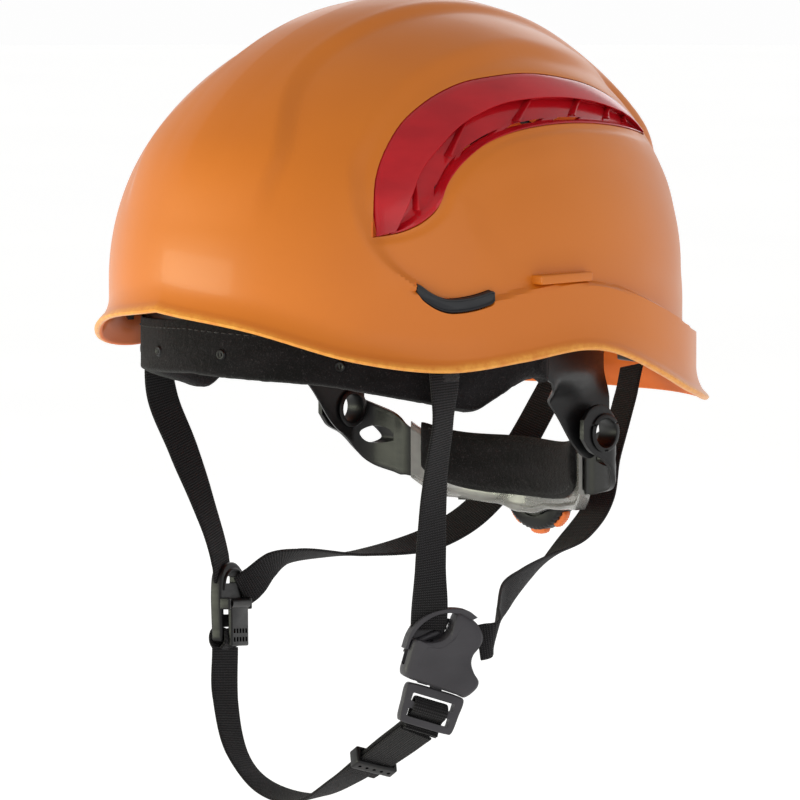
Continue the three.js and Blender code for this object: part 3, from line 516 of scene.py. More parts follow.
def lathe(name, points, count=64):
    """A ring of revolution about z from closed section points (radius, z)."""
    turns = np.linspace(0, 2 * math.pi, count, endpoint=False)
    section = np.array(points, float)
    rings = [np.column_stack([section[:, 0] * math.cos(t), section[:, 0] * math.sin(t),
                              section[:, 1]]) for t in turns]
    return shaped(name, *loft(np.array(rings), closed=True))


def circle(x, y, radius, count=32):
    turns = np.linspace(0, 2 * math.pi, count, endpoint=False)
    return np.column_stack([x + radius * np.cos(turns), y + radius * np.sin(turns)])


def side_prism(name, outline, low, high):
    """A solid whose outline lies in the side view (Y, Z) and which runs along X."""
    obj = prism(name, outline, low, high)
    obj.data.transform(Matrix(((0, 0, 1, 0), (1, 0, 0, 0), (0, 1, 0, 0), (0, 0, 0, 1))))
    return obj


def mirror_copy(obj, name):
    """The same piece on the other side of the middle."""
    other = bpy.data.objects.new(name, obj.data.copy())
    bpy.context.scene.collection.objects.link(other)
    other.data.transform(Matrix.Scale(-1, 4, Vector((1, 0, 0))))
    other.data.flip_normals()
    return other


def piece(obj, material, body, *nodes, slot=None):
    """Finishes a piece: its material, the body it rides on and the CAD nodes that it stands for."""
    obj.data.materials.clear()
    obj.data.materials.append(material)
    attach(obj, body)
    if nodes:
        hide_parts(*nodes)
    return obj


def frame_matrix(origin, wide, up):
    """Local frame as in the CAD: x along wide, y along up, z out of the face; origin in millimetres."""
    wide = Vector(wide).normalized()
    up = Vector(up)
    up = (up - wide * up.dot(wide)).normalized()
    turn = Matrix((wide, up, wide.cross(up))).transposed().to_4x4()
    return Matrix.Translation(Vector(origin) * MM) @ turn


def put(obj, matrix):
    obj.data.transform(matrix)
    return obj


# ------------------------------------------------------------------ camera, light and floor
def studio():
    aim = Vector((0.0015, 0.0015, -0.0237))
    azimuth, elevation, distance = math.radians(45), math.radians(5.5), 3.0
    frame_width = 0.3347
    data = bpy.data.cameras.new("camera")
    data.sensor_width = 36
    data.lens = 36 * distance / frame_width
    data.clip_end = 50
    camera = bpy.data.objects.new("camera", data)
    away = Vector((math.sin(azimuth) * math.cos(elevation), -math.cos(azimuth) * math.cos(elevation),
                   math.sin(elevation)))
    camera.location = aim + away * distance
    camera.rotation_euler = (-away).to_track_quat("-Z", "Y").to_euler()
    bpy.context.scene.collection.objects.link(camera)
    bpy.context.scene.camera = camera

    def softbox(name, direction, reach, size, power, color=(1, 1, 1)):
        light = bpy.data.lights.new(name, "AREA")
        light.shape = "RECTANGLE"
        light.size, light.size_y = size
        light.energy = power
        light.color = color
        lamp = bpy.data.objects.new(name, light)
        lamp.location = aim + Vector(direction).normalized() * reach
        lamp.rotation_euler = (aim - lamp.location).to_track_quat("-Z", "Y").to_euler()
        bpy.context.scene.collection.objects.link(lamp)

    softbox("key", (-0.42, -1, -0.02), 1.7, (1.5, 0.8), 21, (0.96, 1.0, 0.74))
    softbox("side", (1, -0.15, 0.3), 1.9, (1.2, 1.2), 2.5)
    softbox("rear", (-0.7, 1, 0.5), 1.9, (1.2, 0.8), 3)

    # Paler near the horizon than overhead, so that the crown falls into half shade.
    world = bpy.data.worlds.new("studio")
    world.use_nodes = True
    nodes, links = world.node_tree.nodes, world.node_tree.links
    where = nodes.new("ShaderNodeTexCoord")
    split = nodes.new("ShaderNodeSeparateXYZ")
    rise = nodes.new("ShaderNodeMapRange")
    links.new(where.outputs["Generated"], split.inputs[0])
    links.new(split.outputs[2], rise.inputs["Value"])
    for name, value in (("From Min", 0.08), ("From Max", 0.75), ("To Min", 1.0), ("To Max", 0.5)):
        rise.inputs[name].default_value = value
    links.new(rise.outputs[0], nodes["Background"].inputs["Strength"])
    nodes["Background"].inputs["Color"].default_value = (0.985, 0.985, 0.985, 1)
    bpy.context.scene.world = world
    bpy.context.scene.view_settings.view_transform = "Standard"

    # Low enough for the opened chin strap to swing clear of it.
    room_below = 100
    low = cad_box[0][2] / MM - room_below
    floor = shaped("floor", *loft(np.array([np.column_stack([circle(0, 0, 9000, 96),
                                                             np.full(96, low - drop)])
                                            for drop in (12, 2)])))
    look = Look("pale_floor", Specular_IOR_Level=0.1, Emission_Color=(1, 1, 1, 1), Emission_Strength=0.5)
    soft = look.noise(look.place(), 3, 2)
    floor.data.materials.append(look.finish(look.blend(soft, rgb(236, 236, 235), rgb(231, 231, 230)), 0.95))


studio()


# ------------------------------------------------------------------ shell
FACET = [(-32.5, 37.5), (-43.5, 57.5), (-43.5, 67.5), (-36.5, 73.5), (-18.5, 78.5), (13.5, 82.5),
         (53.5, 80.5), (91.5, 71.5), (115.5, 55.5), (127.5, 35.5),
         (103.5, 19.5), (51.5, 33.5), (3.5, 41.5)]
vent_upper = catmull(VENT_UPPER, 160)
vent_lower = catmull(VENT_LOWER, 160)
VENT_MIDDLE = [(-76.5, 55), (-69.5, 65.5), (-60.5, 78.5), (-47.5, 89), (-32.5, 97.5), (-11.5, 103.5),
               (11.5, 105.1), (35.5, 103.8),
               (57.5, 100), (78.5, 94.5), (96.5, 86.5)]


def finished_relief(x, y, z):
    """The CAD's relief, with a flatter facet below the vent and a rolled edge round its opening."""
    facet = smooth(loop_distance(y, z, np.array(FACET, float)), -6, 6)
    opening = np.vstack([vent_upper, vent_lower[::-1]])
    near = loop_distance(y, z, opening)
    roll = np.exp(-(np.minimum(near, 0) / 1.6) ** 2) * (np.abs(x) > 25)
    return relief(x, y, z) - 0.7 * facet - 0.8 * roll


def fine_shell_point(turn, down, depth, drop=0.0):
    return shell_point(turn, down, depth, drop, finished_relief)


def shell():
    turns = np.linspace(0, 2 * math.pi, 440, endpoint=False)
    outer_rows = np.concatenate([np.linspace(0.004, 0.5, 52), np.linspace(0.5, 1, 96)[1:]])
    inner_rows = np.linspace(1, 0.004, 70)
    half = WALL / 2
    lip = [(1, half * (1 - math.cos(a)), half * math.sin(a)) for a in np.linspace(0, math.pi, 9)[1:-1]]
    rows = [(down, 0, 0) for down in outer_rows] + lip + [(down, WALL, 0) for down in inner_rows]
    rings = [fine_shell_point(turns, np.full(len(turns), down), depth, drop) for down, depth, drop in rows]
    obj = shaped("shell_detail", *loft(np.array(rings)), crease=30)
    opening = np.vstack([vent_upper[::3], vent_lower[::-3]])
    tools = []
    for side in (1, -1):
        low, high = sorted((side * 30, side * 130))
        tools.append(side_prism("opening", opening, low, high))
        low, high = sorted((side * 60, side * 130))
        tools.append(side_prism("slot", slot_outline(3.2), low, high))
    carve(obj, *tools)
    hooks = [lamp_hook(side) for side in (1, -1)]
    carve(obj, *hooks, join=True)
    soften(obj, 30)
    mark_edge(obj)
    return piece(obj, SHELL, "helmet", "shell", slot="shell_orange")


def mark_edge(obj):
    """Stores how close each point lies to the rim, and whether it faces inwards, for the shell's painted rim
    highlight and the painted glow on its inner faces.
    """
    count = len(obj.data.vertices)
    places = np.empty(count * 3)
    obj.data.vertices.foreach_get("co", places)
    x, y, z = places.reshape(-1, 3).T / MM
    rim = rim_height(np.abs(np.degrees(np.arctan2(x, -y))))
    # Rim mask for the painted highlight along the edge.
    attribute = obj.data.attributes.new("edge", "FLOAT", "POINT")
    attribute.data.foreach_set("value", (1 - smooth(z - rim, 0.2, 2.6)).astype(np.float32))
    facing = np.empty(count * 3)
    obj.data.vertices.foreach_get("normal", facing)
    outward = (facing.reshape(-1, 3) * (places.reshape(-1,
                                                       3) - np.array([0, SHELL_SHIFT,
                                                                      20]) * MM)).sum(axis=1)
    # Inner-face mask for the painted glow.
    attribute = obj.data.attributes.new("inside", "FLOAT", "POINT")
    attribute.data.foreach_set("value", (outward < 0).astype(np.float32))


HOOK_Y, HOOK_Z, HOOK_LENGTH, HOOK_HEIGHT = -6.0, 33.6, 30.0, 3.8


def lamp_hook(side):
    """Bar for a lamp strap: flat outside, with rounded edges."""
    outer = HALF_WIDTH + 1.6
    bar = box("hook", (9, HOOK_LENGTH, HOOK_HEIGHT), (side * (outer - 4.5), HOOK_Y, HOOK_Z))
    rounded(bar, 0.7)
    return bar


def slot_line(t, side, half_width):
    y = mix(-73.0, -40.0, t)
    z = 24.5 + np.where(t < 0.45, 40, 11.5) * (t - 0.45) ** 2
    end = np.clip(np.minimum(t, 1 - t) / 0.075, 0, 1)
    return np.column_stack([y, z + side * half_width * np.sqrt(1 - (1 - end) ** 2)])


def slot_outline(half_width):
    t = np.linspace(0, 1, 48)
    return np.vstack([slot_line(t, -1, half_width), slot_line(t[::-1], 1, half_width)])


def side_x(y, z, depth):
    """X of the side panel's surface, lowered by a depth."""
    fore = (y - apex_shift(z)) / HALF_LENGTH
    high = np.maximum(z - EQUATOR, 0) / RISE
    x = HALF_WIDTH * np.sqrt(np.maximum(1 - fore * fore - high * high, 0.02))
    out = np.stack([x / HALF_WIDTH**2, fore / HALF_LENGTH, high / RISE])
    facing = out[0] / np.linalg.norm(out, axis=0)
    return x - (PANEL_DEPTH + depth) / np.maximum(facing, 0.35)


# ------------------------------------------------------------------ vent inserts and slot plugs
RIBS = [((-60, 86), (-66, 63)), ((-26, 102.5), (-46, 84)), ((11, 107), (-7, 96.5)),
        ((42, 104.5), (28, 97.5)),
        ((65, 99.5), (54, 95)), ((80, 95), (73, 92.5))]


def vent_insert(name, node):
    """Flush blade with a rounded lower edge, then a recessed louvre floor crossed by slanting ribs."""
    count = 140
    upper, middle, lower = (catmull(points, count) for points in (VENT_UPPER, VENT_MIDDLE, VENT_LOWER))
    section = [(0.0, 0.5), (0.02, 0.05), (0.08, -0.1), (0.25, -0.25), (0.42, -0.15), (0.485, 0.0),
               (0.5, 0.35),
               (0.503, 1.0), (0.506, 3.0), (0.52, 3.5), (0.62, 3.7), (0.78, 3.8), (0.88, 3.7), (0.91, 3.2),
               (0.925, 1.0), (0.94, 0.4), (0.985, 0.4), (1.0, 1.0)]
    under = [(v, drop + 2.0) for v, drop in section[::-1] if not 0.5 < v < 0.52 and not 0.92 < v < 0.94]
    t = np.linspace(0, 1, count)
    bulge = 0.35 * np.sin(math.pi * t) + 0.65 * np.minimum(6 * np.sin(math.pi * t), 1)
    span = np.linalg.norm(upper - lower, axis=1)
    inset = np.minimum(GAP / np.maximum(span, 0.1), 0.4)
    points = []
    for v, drop in section + under:
        v = mix(inset, 1 - inset, v)[:, None]
        yz = np.where(v < 0.5, mix(upper, middle, v * 2), mix(middle, lower, v * 2 - 1))
        depth = np.where(drop > 0.9, drop * bulge, drop) + (0.4 if drop > 1.2 else 0)
        points.append(np.column_stack([side_x(yz[:, 0], yz[:, 1], depth), yz]))
    obj = shaped(name, *loft(np.stack(points, 1)), crease=35)
    slots = []
    for start, end in ((0.3, 0.44), (0.48, 0.6), (0.64, 0.72), (0.76, 0.82)):
        at = (np.linspace(start, end, 10) * (count - 1)).astype(int)
        outline = np.vstack([mix(middle[at], lower[at], 0.66), mix(middle[at], lower[at], 0.8)[::-1]])
        slots.append(side_prism("louvre", outline, 20, 130))
    carve(obj, *slots)
    ribs = []
    for top, foot in RIBS:
        along = np.linspace(0, 1, 12)
        yz = mix(np.array(top, float), np.array(foot, float), along[:, None])
        across = np.array([-(foot[1] - top[1]), foot[0] - top[0]], float)
        across *= 0.4 / np.linalg.norm(across)
        rings = []
        for (y, z), s in zip(yz, along):
            crest = 0.7 + 0.9 * math.sin(math.pi * s)
            corners = [(-1, 4.4), (-1, crest + 0.4), (-0.4, crest), (0.4, crest), (1, crest + 0.4),
                       (1, 4.4)]
            rings.append([(float(side_x(y + k * across[0], z + k * across[1], depth)), y + k * across[0],
                           z + k * across[1]) for k, depth in corners])
        ribs.append(shaped("rib", *loft(np.array(rings))))
    obj = combined(name, [obj] + ribs, 35)
    return obj, node


def vents():
    left, node = vent_insert("vent_detail_left", "vent_insert_left")
    right = mirror_copy(left, "vent_detail_right")
    soften(right, 35)
    piece(left, RED, "helmet", node, slot="vent_red")
    piece(right, RED, "helmet", "vent_insert_right", slot="vent_red")


def slot_plugs():
    """Curved rubber plugs with a raised border round a sunken middle."""
    t = np.linspace(0.015, 0.985, 90)
    t = 0.5 - 0.485 * np.cos(math.pi * (t - 0.015) / 0.97)
    rings = []
    for half_width, out in ((2.9, -1.5), (2.9, 1.2), (2.75, 1.9), (2.4, 2.3), (2.0, 2.2), (1.7, 1.7),
                            (1.4, 1.5)):
        line = []
        for side, order in ((-1, t), (1, t[::-1])):
            squeezed = 0.5 + (order - 0.5) * (1 - (2.9 - half_width) * 0.022)
            yz = slot_line(squeezed, side, half_width)
            line.append(np.column_stack([side_x(yz[:, 0], yz[:, 1], -out), yz]))
        rings.append(np.vstack(line))
    left = shaped("slot_plug_detail_left", *loft(np.array(rings)), crease=50)
    right = mirror_copy(left, "slot_plug_detail_right")
    soften(right, 50)
    piece(left, RUBBER, "helmet", "slot_plug_left", slot="plug_rubber")
    piece(right, RUBBER, "helmet", "slot_plug_right", slot="plug_rubber")


# ------------------------------------------------------------------ headband, sweatband
band_lower = profile([(0, -3), (37, -6.2), (50, -10), (66, -15.6), (75, -19), (82, -13.5), (89, -8),
                      (95, -8),
                      (99, -12)])
band_upper = profile([(0, 24), (60, 20), (120, 16)])
ear_lower = profile([(100, -15), (106, -26), (112, -40), (117, -46), (121, -42), (124, -32)])


def band_point(degrees, out, z):
    turn = np.radians(degrees)
    x = (BAND_X + out) * np.sin(turn)
    y = BAND_SHIFT - (BAND_Y + out) * np.cos(turn)
    ear = smooth(np.abs(degrees), 99, 104) * smooth(-z, 8, 22)
    return np.stack([mix(x, np.sign(degrees) * (EAR_X + out), ear), y, z], -1)


def headband():
    lattice, faces = block(300, 2, 26)
    degrees = mix(-124, 124, lattice[:, 0])
    side = np.abs(degrees)
    low = np.where(side > 100, ear_lower(side), band_lower(side))
    z = mix(low, band_upper(side), lattice[:, 2])
    thin = 1 - 0.45 * np.abs(2 * lattice[:, 2] - 1) ** 14
    obj = shaped("headband_detail", band_point(degrees, (lattice[:, 1] - 0.5) * BAND_THICK * thin, z),
                 faces, 50)
    tools = []
    for x in (1, -1):
        low, high = sorted((x * 50, x * 100))
        tools.append(side_prism("bore", circle(PIVOT_Y, PIVOT_Z, 6.9, 48), low, high))
        window = [(52, 2), (68, 4), (68, 9), (52, 8)]
        tools.append(side_prism("window", window, low, high))
    carve(obj, *tools)
    soften(obj, 40)
    return piece(obj, BLACK, "helmet", "headband", slot="black_plastic")


def pad_rings(degrees, corners, steps):
    """Section rings through rounded corners (out, z functions of the angle)."""
    rings = []
    for angle in degrees:
        section = catmull([corner(angle) for corner in corners], steps, closed=True)
        rings.append(band_point(np.full(steps, angle), section[:, 0], section[:, 1]))
    return np.array(rings)


def inflate(obj, held, pressure, cap):
    """Blows a foam pad up against its glued and sewn points with a short cloth simulation."""
    frames = 16
    group = obj.vertex_groups.new(name="held")
    group.add([int(i) for i in np.flatnonzero(held)], 1.0, "REPLACE")
    rest = np.array([v.co for v in obj.data.vertices])
    cloth = obj.modifiers.new("cloth", "CLOTH")
    cloth.settings.quality = 4
    cloth.settings.mass = 0.1
    cloth.settings.tension_stiffness = 12
    cloth.settings.compression_stiffness = 6
    cloth.settings.shear_stiffness = 4
    cloth.settings.bending_stiffness = 0.4
    cloth.settings.vertex_group_mass = "held"
    cloth.settings.use_pressure = True
    cloth.settings.uniform_pressure_force = pressure
    cloth.settings.effector_weights.gravity = 0
    cloth.point_cache.frame_start, cloth.point_cache.frame_end = 1, frames
    scene = bpy.context.scene
    for frame_number in range(1, frames + 1):
        scene.frame_set(frame_number)
    graph = bpy.context.evaluated_depsgraph_get()
    blown = np.array([v.co for v in obj.evaluated_get(graph).data.vertices])
    obj.modifiers.clear()
    obj.vertex_groups.clear()
    scene.frame_set(1)
    move = blown - rest
    size = np.maximum(np.linalg.norm(move, axis=1, keepdims=True), 1e-9)
    move *= np.minimum(1, cap * MM / size)
    obj.data.vertices.foreach_set("co", (rest + move).ravel())
    obj.data.update()


def stitches(name, points, outward, length=2.2, pitch=3.4, thick=0.45):
    """A row of raised thread stitches along a path, lying on the side that outward points to."""
    points, outward = np.asarray(points, float), np.asarray(outward, float)
    steps = np.linalg.norm(np.diff(points, axis=0), axis=1)
    travel = np.concatenate([[0], np.cumsum(steps)])
    rows, faces = [], []
    for start in np.arange(0.5, travel[-1] - length, pitch):
        at = np.linspace(start, start + length, 6)
        line = np.stack([np.interp(at, travel, points[:, k]) for k in range(3)], -1)
        out = np.stack([np.interp(at, travel, outward[:, k]) for k in range(3)], -1)
        out /= np.linalg.norm(out, axis=1, keepdims=True)
        ahead = np.gradient(line, axis=0)
        ahead /= np.linalg.norm(ahead, axis=1, keepdims=True)
        beside = np.cross(out, ahead)
        arch = np.sin(np.linspace(0, math.pi, 6))[:, None]
        centre = line + out * (thick * (0.75 * arch - 0.35))
        turns = np.linspace(0, 2 * math.pi, 7)[:-1]
        width = thick * 0.5 * (0.55 + 0.45 * arch)
        ring = centre[:, None] + (out[:, None] * np.cos(turns)[None, :, None]
                                  + beside[:, None] * np.sin(turns)[None, :, None]) * width[:, None]
        places, quads = loft(ring)
        base = sum(len(r) for r in rows)
        rows.append(places)
        faces += [[base + i for i in face] for face in quads]
    obj = shaped(name, np.vstack(rows), faces, 60)
    obj.data.materials.append(THREAD)
    return obj


def sweatband():
    """One velour pad folded under the band's lower edge: thick foam inside, thin skin outside."""
    inner, outer = -BAND_THICK / 2 - GAP, BAND_THICK / 2 + GAP
    puckers = np.random.default_rng(7).normal(size=400)

    def low(a):
        return float(band_lower(abs(a)))

    def high(a):
        return float(band_upper(abs(a)))

    corners = [lambda a: (inner - 0.1, high(a) - 1.2), lambda a: (inner - 0.1, mix(low(a), high(a), 0.6)),
               lambda a: (inner - 0.1, low(a) + 2.5), lambda a: (inner + 0.3, low(a) - GAP - 0.1),
               lambda a: (outer - 0.3, low(a) - GAP - 0.1), lambda a: (outer + 0.1, low(a) + 2.5),
               lambda a: (outer + 0.1, high(a) - 9), lambda a: (outer + 0.6, high(a) - 7.3),
               lambda a: (outer + 1.1, high(a) - 9), lambda a: (outer + 1.2, low(a) + 3),
               lambda a: (outer + 0.9, low(a) - 0.8), lambda a: ((inner + outer) / 2 - 1.2, low(a) - 1.9),
               lambda a: (inner - 3.0, low(a) - 1.2), lambda a: (inner - 4.0, low(a) + 3),
               lambda a: (inner - 4.0, mix(low(a), high(a), 0.6)), lambda a: (inner - 3.4, high(a) - 3),
               lambda a: (inner - 1.6, high(a) - 1.2)]
    degrees = np.linspace(-97, 97, 190)
    steps = 68
    rings = pad_rings(degrees, corners, steps)
    obj = shaped("sweatband_pad", *loft(rings), crease=80)
    share = np.tile(np.arange(steps) / steps, len(degrees))
    held = (share < 0.46) | ((share > 0.875) & (share < 0.9))
    held |= (np.repeat(np.arange(len(degrees)), steps) % 21 == 0) & (share > 0.7)
    inflate(obj, held[: len(obj.data.vertices)], 3.0, 1.0)
    ripple = np.interp(np.linspace(0, 399, len(obj.data.vertices)), range(400), puckers)
    co = np.array([v.co for v in obj.data.vertices])
    co[:, 2] += 0.00008 * ripple
    obj.data.vertices.foreach_set("co", co.ravel())
    soften(obj, 80)
    piece(obj, VELOUR, "helmet", "sweatband", slot="velour")
    line = np.array([band_point(np.array([a]), np.array([outer + 1.25]), np.array([high(a) - 10.5]))[0]
                     for a in degrees])
    out = line - np.array([0, BAND_SHIFT, 0])
    out[:, 2] = 0
    seam = stitches("sweatband_seam", line, out)
    piece(seam, THREAD, "helmet", slot="velour")


def band_pegs():
    """Small pegs and tabs that hold the pad on the band."""
    parts = []
    for angle, z in ((-13, 3), (12, 4), (43, 0), (-43, 0), (-70, 0), (70, 0)):
        at = band_point(np.array([angle]), np.array([BAND_THICK / 2 + 1.2]), np.array([z]))[0]
        out = Vector((at[0], at[1] - BAND_SHIFT, 0)).normalized()
        peg = lathe("peg", [(0.6, -0.6), (2.0, -0.6), (2.2, 0.3), (1.7, 0.9), (1.0, 0.8), (0.6, 0.3)], 24)
        peg2 = box("bar", (2.6, 0.8, 1.0), (0, 0, 0.3))
        rounded(peg2, 0.25)
        for part in (peg, peg2):
            put(part, frame_matrix(at + np.array(out) * 0.5, (0, 0, 1), out.cross(Vector((0, 0, 1)))))
            parts.append(part)
    obj = combined("band_pegs", parts, 45)
    piece(obj, BLACK, "helmet", slot="black_plastic")


# ------------------------------------------------------------------ webbing
def centripetal(points, t):
    """Centripetal Catmull-Rom curve, as in the CAD: t from 0 to 1, evenly over the spans."""
    pts = np.array(points, float)
    pts = np.vstack([2 * pts[0] - pts[1], pts, 2 * pts[-1] - pts[-2]])
    spans = len(pts) - 3
    at = np.asarray(t) * spans
    i = np.minimum(at.astype(int), spans - 1)
    w = (at - i)[:, None]
    a, b, c, d = (pts[i + k] for k in range(4))
    before, here, after = (np.sqrt(np.linalg.norm(q - p, axis=1, keepdims=True)) for p,
                           q in ((a, b), (b, c), (c, d)))
    here = np.where(here < 1e-4, 1, here)
    before, after = (np.where(gap < 1e-4, here, gap) for gap in (before, after))
    start = ((b - a) / before - (c - a) / (before + here) + (c - b) / here) * here
    end = ((c - b) / here - (d - b) / (here + after) + (d - c) / after) * here
    return b + start * w + (-3 * b + 3 * c - 2 * start - end) * w**2 + (2 * b - 2 * c + start + end) * w**3


def tape(name, stations, seed, width=WEB_WIDTH, thick=WEB_THICK, path=None):
    """Woven tape through stations (at, wide), with ribbed faces, rolled selvedges and slightly wavy edges."""
    if path is None:
        t = np.linspace(0, 1, 1500)
        line = centripetal([s[0] for s in stations], t)
        wide = centripetal([s[1] for s in stations], t)
    else:
        line, wide = path
    travel = np.concatenate([[0], np.cumsum(np.linalg.norm(np.diff(line, axis=0), axis=1))])
    at = np.arange(0, travel[-1], 0.366)
    line = np.stack([np.interp(at, travel, line[:, k]) for k in range(3)], -1)
    wide = np.stack([np.interp(at, travel, wide[:, k]) for k in range(3)], -1)
    along = np.gradient(line, axis=0)
    along /= np.linalg.norm(along, axis=1, keepdims=True)
    side = wide - along * (wide * along).sum(1, keepdims=True)
    side /= np.linalg.norm(side, axis=1, keepdims=True)
    face = np.cross(along, side)
    rng = np.random.default_rng(seed)
    phases = rng.uniform(0, 2 * math.pi, 4)
    wave = [0.10 * np.sin(at / 9 + phases[k]) + 0.06 * np.sin(at / 3.7 + phases[k + 2]) for k in range(2)]
    rib = 0.055 * np.cos(2 * math.pi * at / 1.1)
    across = np.array([-1, -0.985, -0.94, -0.86, -0.6, -0.3, 0, 0.3, 0.6, 0.86, 0.94, 0.985, 1])
    bulk = np.array([0.15, 0.6, 0.88, 1.0, 0.96, 0.96, 0.96, 0.96, 0.96, 1.0, 0.88, 0.6, 0.15])
    ring, uses = [], []
    for sign, order in ((1, slice(None)), (-1, slice(None, None, -1))):
        for s, b in zip(across[order], bulk[order]):
            edge = wave[0] if s > 0 else wave[1]
            lateral = s * width / 2 + edge * s**4
            height = sign * (thick / 2 * b + (rib if abs(s) < 0.95 else rib * 0.5))
            ring.append(line + side * np.reshape(lateral, (-1, 1)) + face * np.reshape(height, (-1, 1)))
            uses.append(s * width / 2)
    rings = np.stack(ring, 1)
    obj = shaped(name, *loft(rings), crease=70)
    store_tape(obj, rings, np.array(uses), at)
    obj.data.materials.append(WEBBING)
    return obj


def store_tape(obj, rings, across, along):
    """Stores the place across and along the tape, in millimetres, for its weave."""
    count = rings.shape[0] * rings.shape[1]
    value = np.zeros((count, 3), np.float32)
    value[:, 0] = np.tile(across, len(along))
    value[:, 1] = np.repeat(along, len(across))
    if len(obj.data.vertices) != count:
        raise RuntimeError(f"{obj.name}: {len(obj.data.vertices)} points, not {count}")
    attribute = obj.data.attributes.new("tape", "FLOAT_VECTOR", "POINT")
    attribute.data.foreach_set("vector", value.ravel())


def bar_tack(name, centre, wide, along, face):
    """Zigzag of dense stitching across a tape."""
    width, length, rows = 12, 5, 4
    wide, along, face = (np.array(Vector(v).normalized()) for v in (wide, along, face))
    points, outs = [], []
    for i in range(rows * 8 + 1):
        u = ((i % 2) * 2 - 1) * width / 2
        v = mix(-length / 2, length / 2, i / (rows * 8))
        points.append(np.array(centre) + wide * u + along * v)
        outs.append(face)
    dense = []
    for a, b in zip(points[:-1], points[1:]):
        dense += [mix(a, b, s) for s in np.linspace(0, 1, 5)[:-1]]
    dense.append(points[-1])
    return stitches(name, dense, [face] * len(dense), length=3.2, pitch=3.5, thick=0.4)


FRONT_LEFT = [((85, -57, 6.5), (0.4, 0.92, 0)), ((85, -56.5, -8), (0.05, 1, 0)),
              ((83.5, -56, -24), (-0.2, 0.98, 0)),
              ((77, -54, -48), (-0.1, 0.99, 0)), ((70, -49.5, -85), (0.2, 0.97, -0.1)),
              ((67.4, -47.4, -101.3), (0.482, 0.82, -0.309)),
              ((65.8, -46.4, -110.5), (0.482, 0.82, -0.309))]
FRONT_RIGHT = [((-85, -57, 6.5), (-0.4, 0.92, 0)), ((-85, -56.5, -8), (-0.05, 1, 0)),
               ((-83.5, -55, -24), (0.2, 0.98, 0)), ((-77.5, -48, -48), (0.1, 0.99, 0)),
               ((-71.5, -38, -80), (-0.25, 0.96, 0)), ((-70, -34.5, -93.8), (-0.31, 0.95, 0)),
               ((-70.2, -33, -102), (-0.31, 0.95, 0))]
REAR_LEFT = [((20, 123.5, -16), (0.98, -0.19, 0)), ((22, 117.5, -28), (0.98, -0.19, 0)),
             ((27, 101, -55), (0.97, -0.12, 0)), ((34, 88, -71), (0.95, 0.05, 0)),
             ((39, 69, -83), (0.93, 0.2, 0.05)), ((43, 43, -93.5), (0.75, -0.1, 0.65)),
             ((51, 21, -99), (0.4, -0.15, 0.88)), ((58, 5, -103.5), (0, 0.1, 0.98)),
             ((70, -11, -110.5), (0, 0.2, 0.95)),
             ((78.4, -21.7, -115.3), (0.15, 0.27, 0.95)), ((76.4, -28.2, -116.6), (0.15, 0.27, 0.95))]
REAR_RIGHT = [((-20, 123.5, -16), (0.98, 0.19, 0)), ((-22, 117.5, -28), (0.98, 0.19, 0)),
              ((-28, 102, -55), (0.95, 0.3, 0)), ((-34, 90, -75.5), (0.93, 0.3, -0.2)),
              ((-42, 67, -90), (0.9, 0.05, -0.42)), ((-54, 34, -95.5), (0.93, -0.36, 0)),
              ((-63.5, 1.5, -95), (0.8, -0.25, 0.5)), ((-67, -8, -98.5), (0.35, -0.45, 0.8)),
              ((-69, -16, -105), (0, -0.6, 0.8)), ((-70.5, -22, -109), (0, -0.6, 0.8))]
CHIN = [((-67.6, -34, -131), (0, 0.96, -0.28)), ((-65.5, -36, -153), (0, 0.96, -0.28)),
        ((-56, -38, -175), (-0.1, 0.96, -0.2)), ((-38, -39, -187), (-0.3, 0.9, 0.1)),
        ((-12, -40, -189), (0, 0.96, 0.1)), ((12, -41, -178.5), (0.2, 0.95, -0.1)),
        ((36, -41.8, -163.5), (0.35, 0.88, -0.25)), ((59, -45.2, -150.6), (0.482, 0.82, -0.309))]
TAIL = [((22, -42.3, -174.8), (0.3, 0.9, -0.2)), ((37.5, -42.8, -165.4), (0.38, 0.86, -0.27)),
        ((58, -45.6, -153.6), (0.482, 0.82, -0.309))]


def straps():
    runs = [("front_strap_left", FRONT_LEFT, "helmet"), ("front_strap_right", FRONT_RIGHT, "helmet"),
            ("rear_strap_left", REAR_LEFT, "helmet"), ("rear_strap_right", REAR_RIGHT, "helmet"),
            ("chin_strap", CHIN, "chin"), ("chin_strap_tail", TAIL, "chin")]
    for seed, (name, stations, body) in enumerate(runs):
        obj = tape(name + "_tape", stations, seed + 11)
        if name == "chin_strap":
            # The chin tape takes its material and a baked placement here, and rides on no body; its turn
            # round the divider's lower bar is the chin_strap_turn tape below.
            obj.data.materials.clear()
            obj.data.materials.append(WEBBING)
            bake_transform(obj)
            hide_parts(name)
        else:
            piece(obj, WEBBING, body, name, slot="webbing")
    turn_back = [(-2.7, -20.2, 0.75), (-2.2, -17.6, 2.9), (-1.4, -15, 3.25), (-0.7, -13.2, 2.9),
                 (-0.4, -12.4, 1.1), (-0.4, -12.4, -1.1), (-0.7, -13.2, -3.0), (-1.4, -15, -3.4),
                 (-2.2, -17.6, -2.7), (-2.7, -20.4, -0.7)]
    line = np.array([DIVIDER @ (Vector(point) * MM) for point in catmull(turn_back, 400)]) / MM
    wide = np.tile(np.array(DIVIDER.to_3x3() @ Vector((0.99, 0.09, 0.0))), (400, 1))
    piece(tape("chin_strap_turn", None, 31, path=(line, wide)), WEBBING, "helmet", slot="webbing")
    for name, x, turn in (("left", 85, 0.4), ("right", -85, -0.4)):
        tack = bar_tack("front_tack_" + name, (x + math.copysign(0.75, x), -56.7, -4), (turn, 0.92, 0),
                        (0, 0, 1),
                        (math.copysign(1, x), -0.4, 0))
        piece(tack, THREAD, "helmet", slot="webbing")


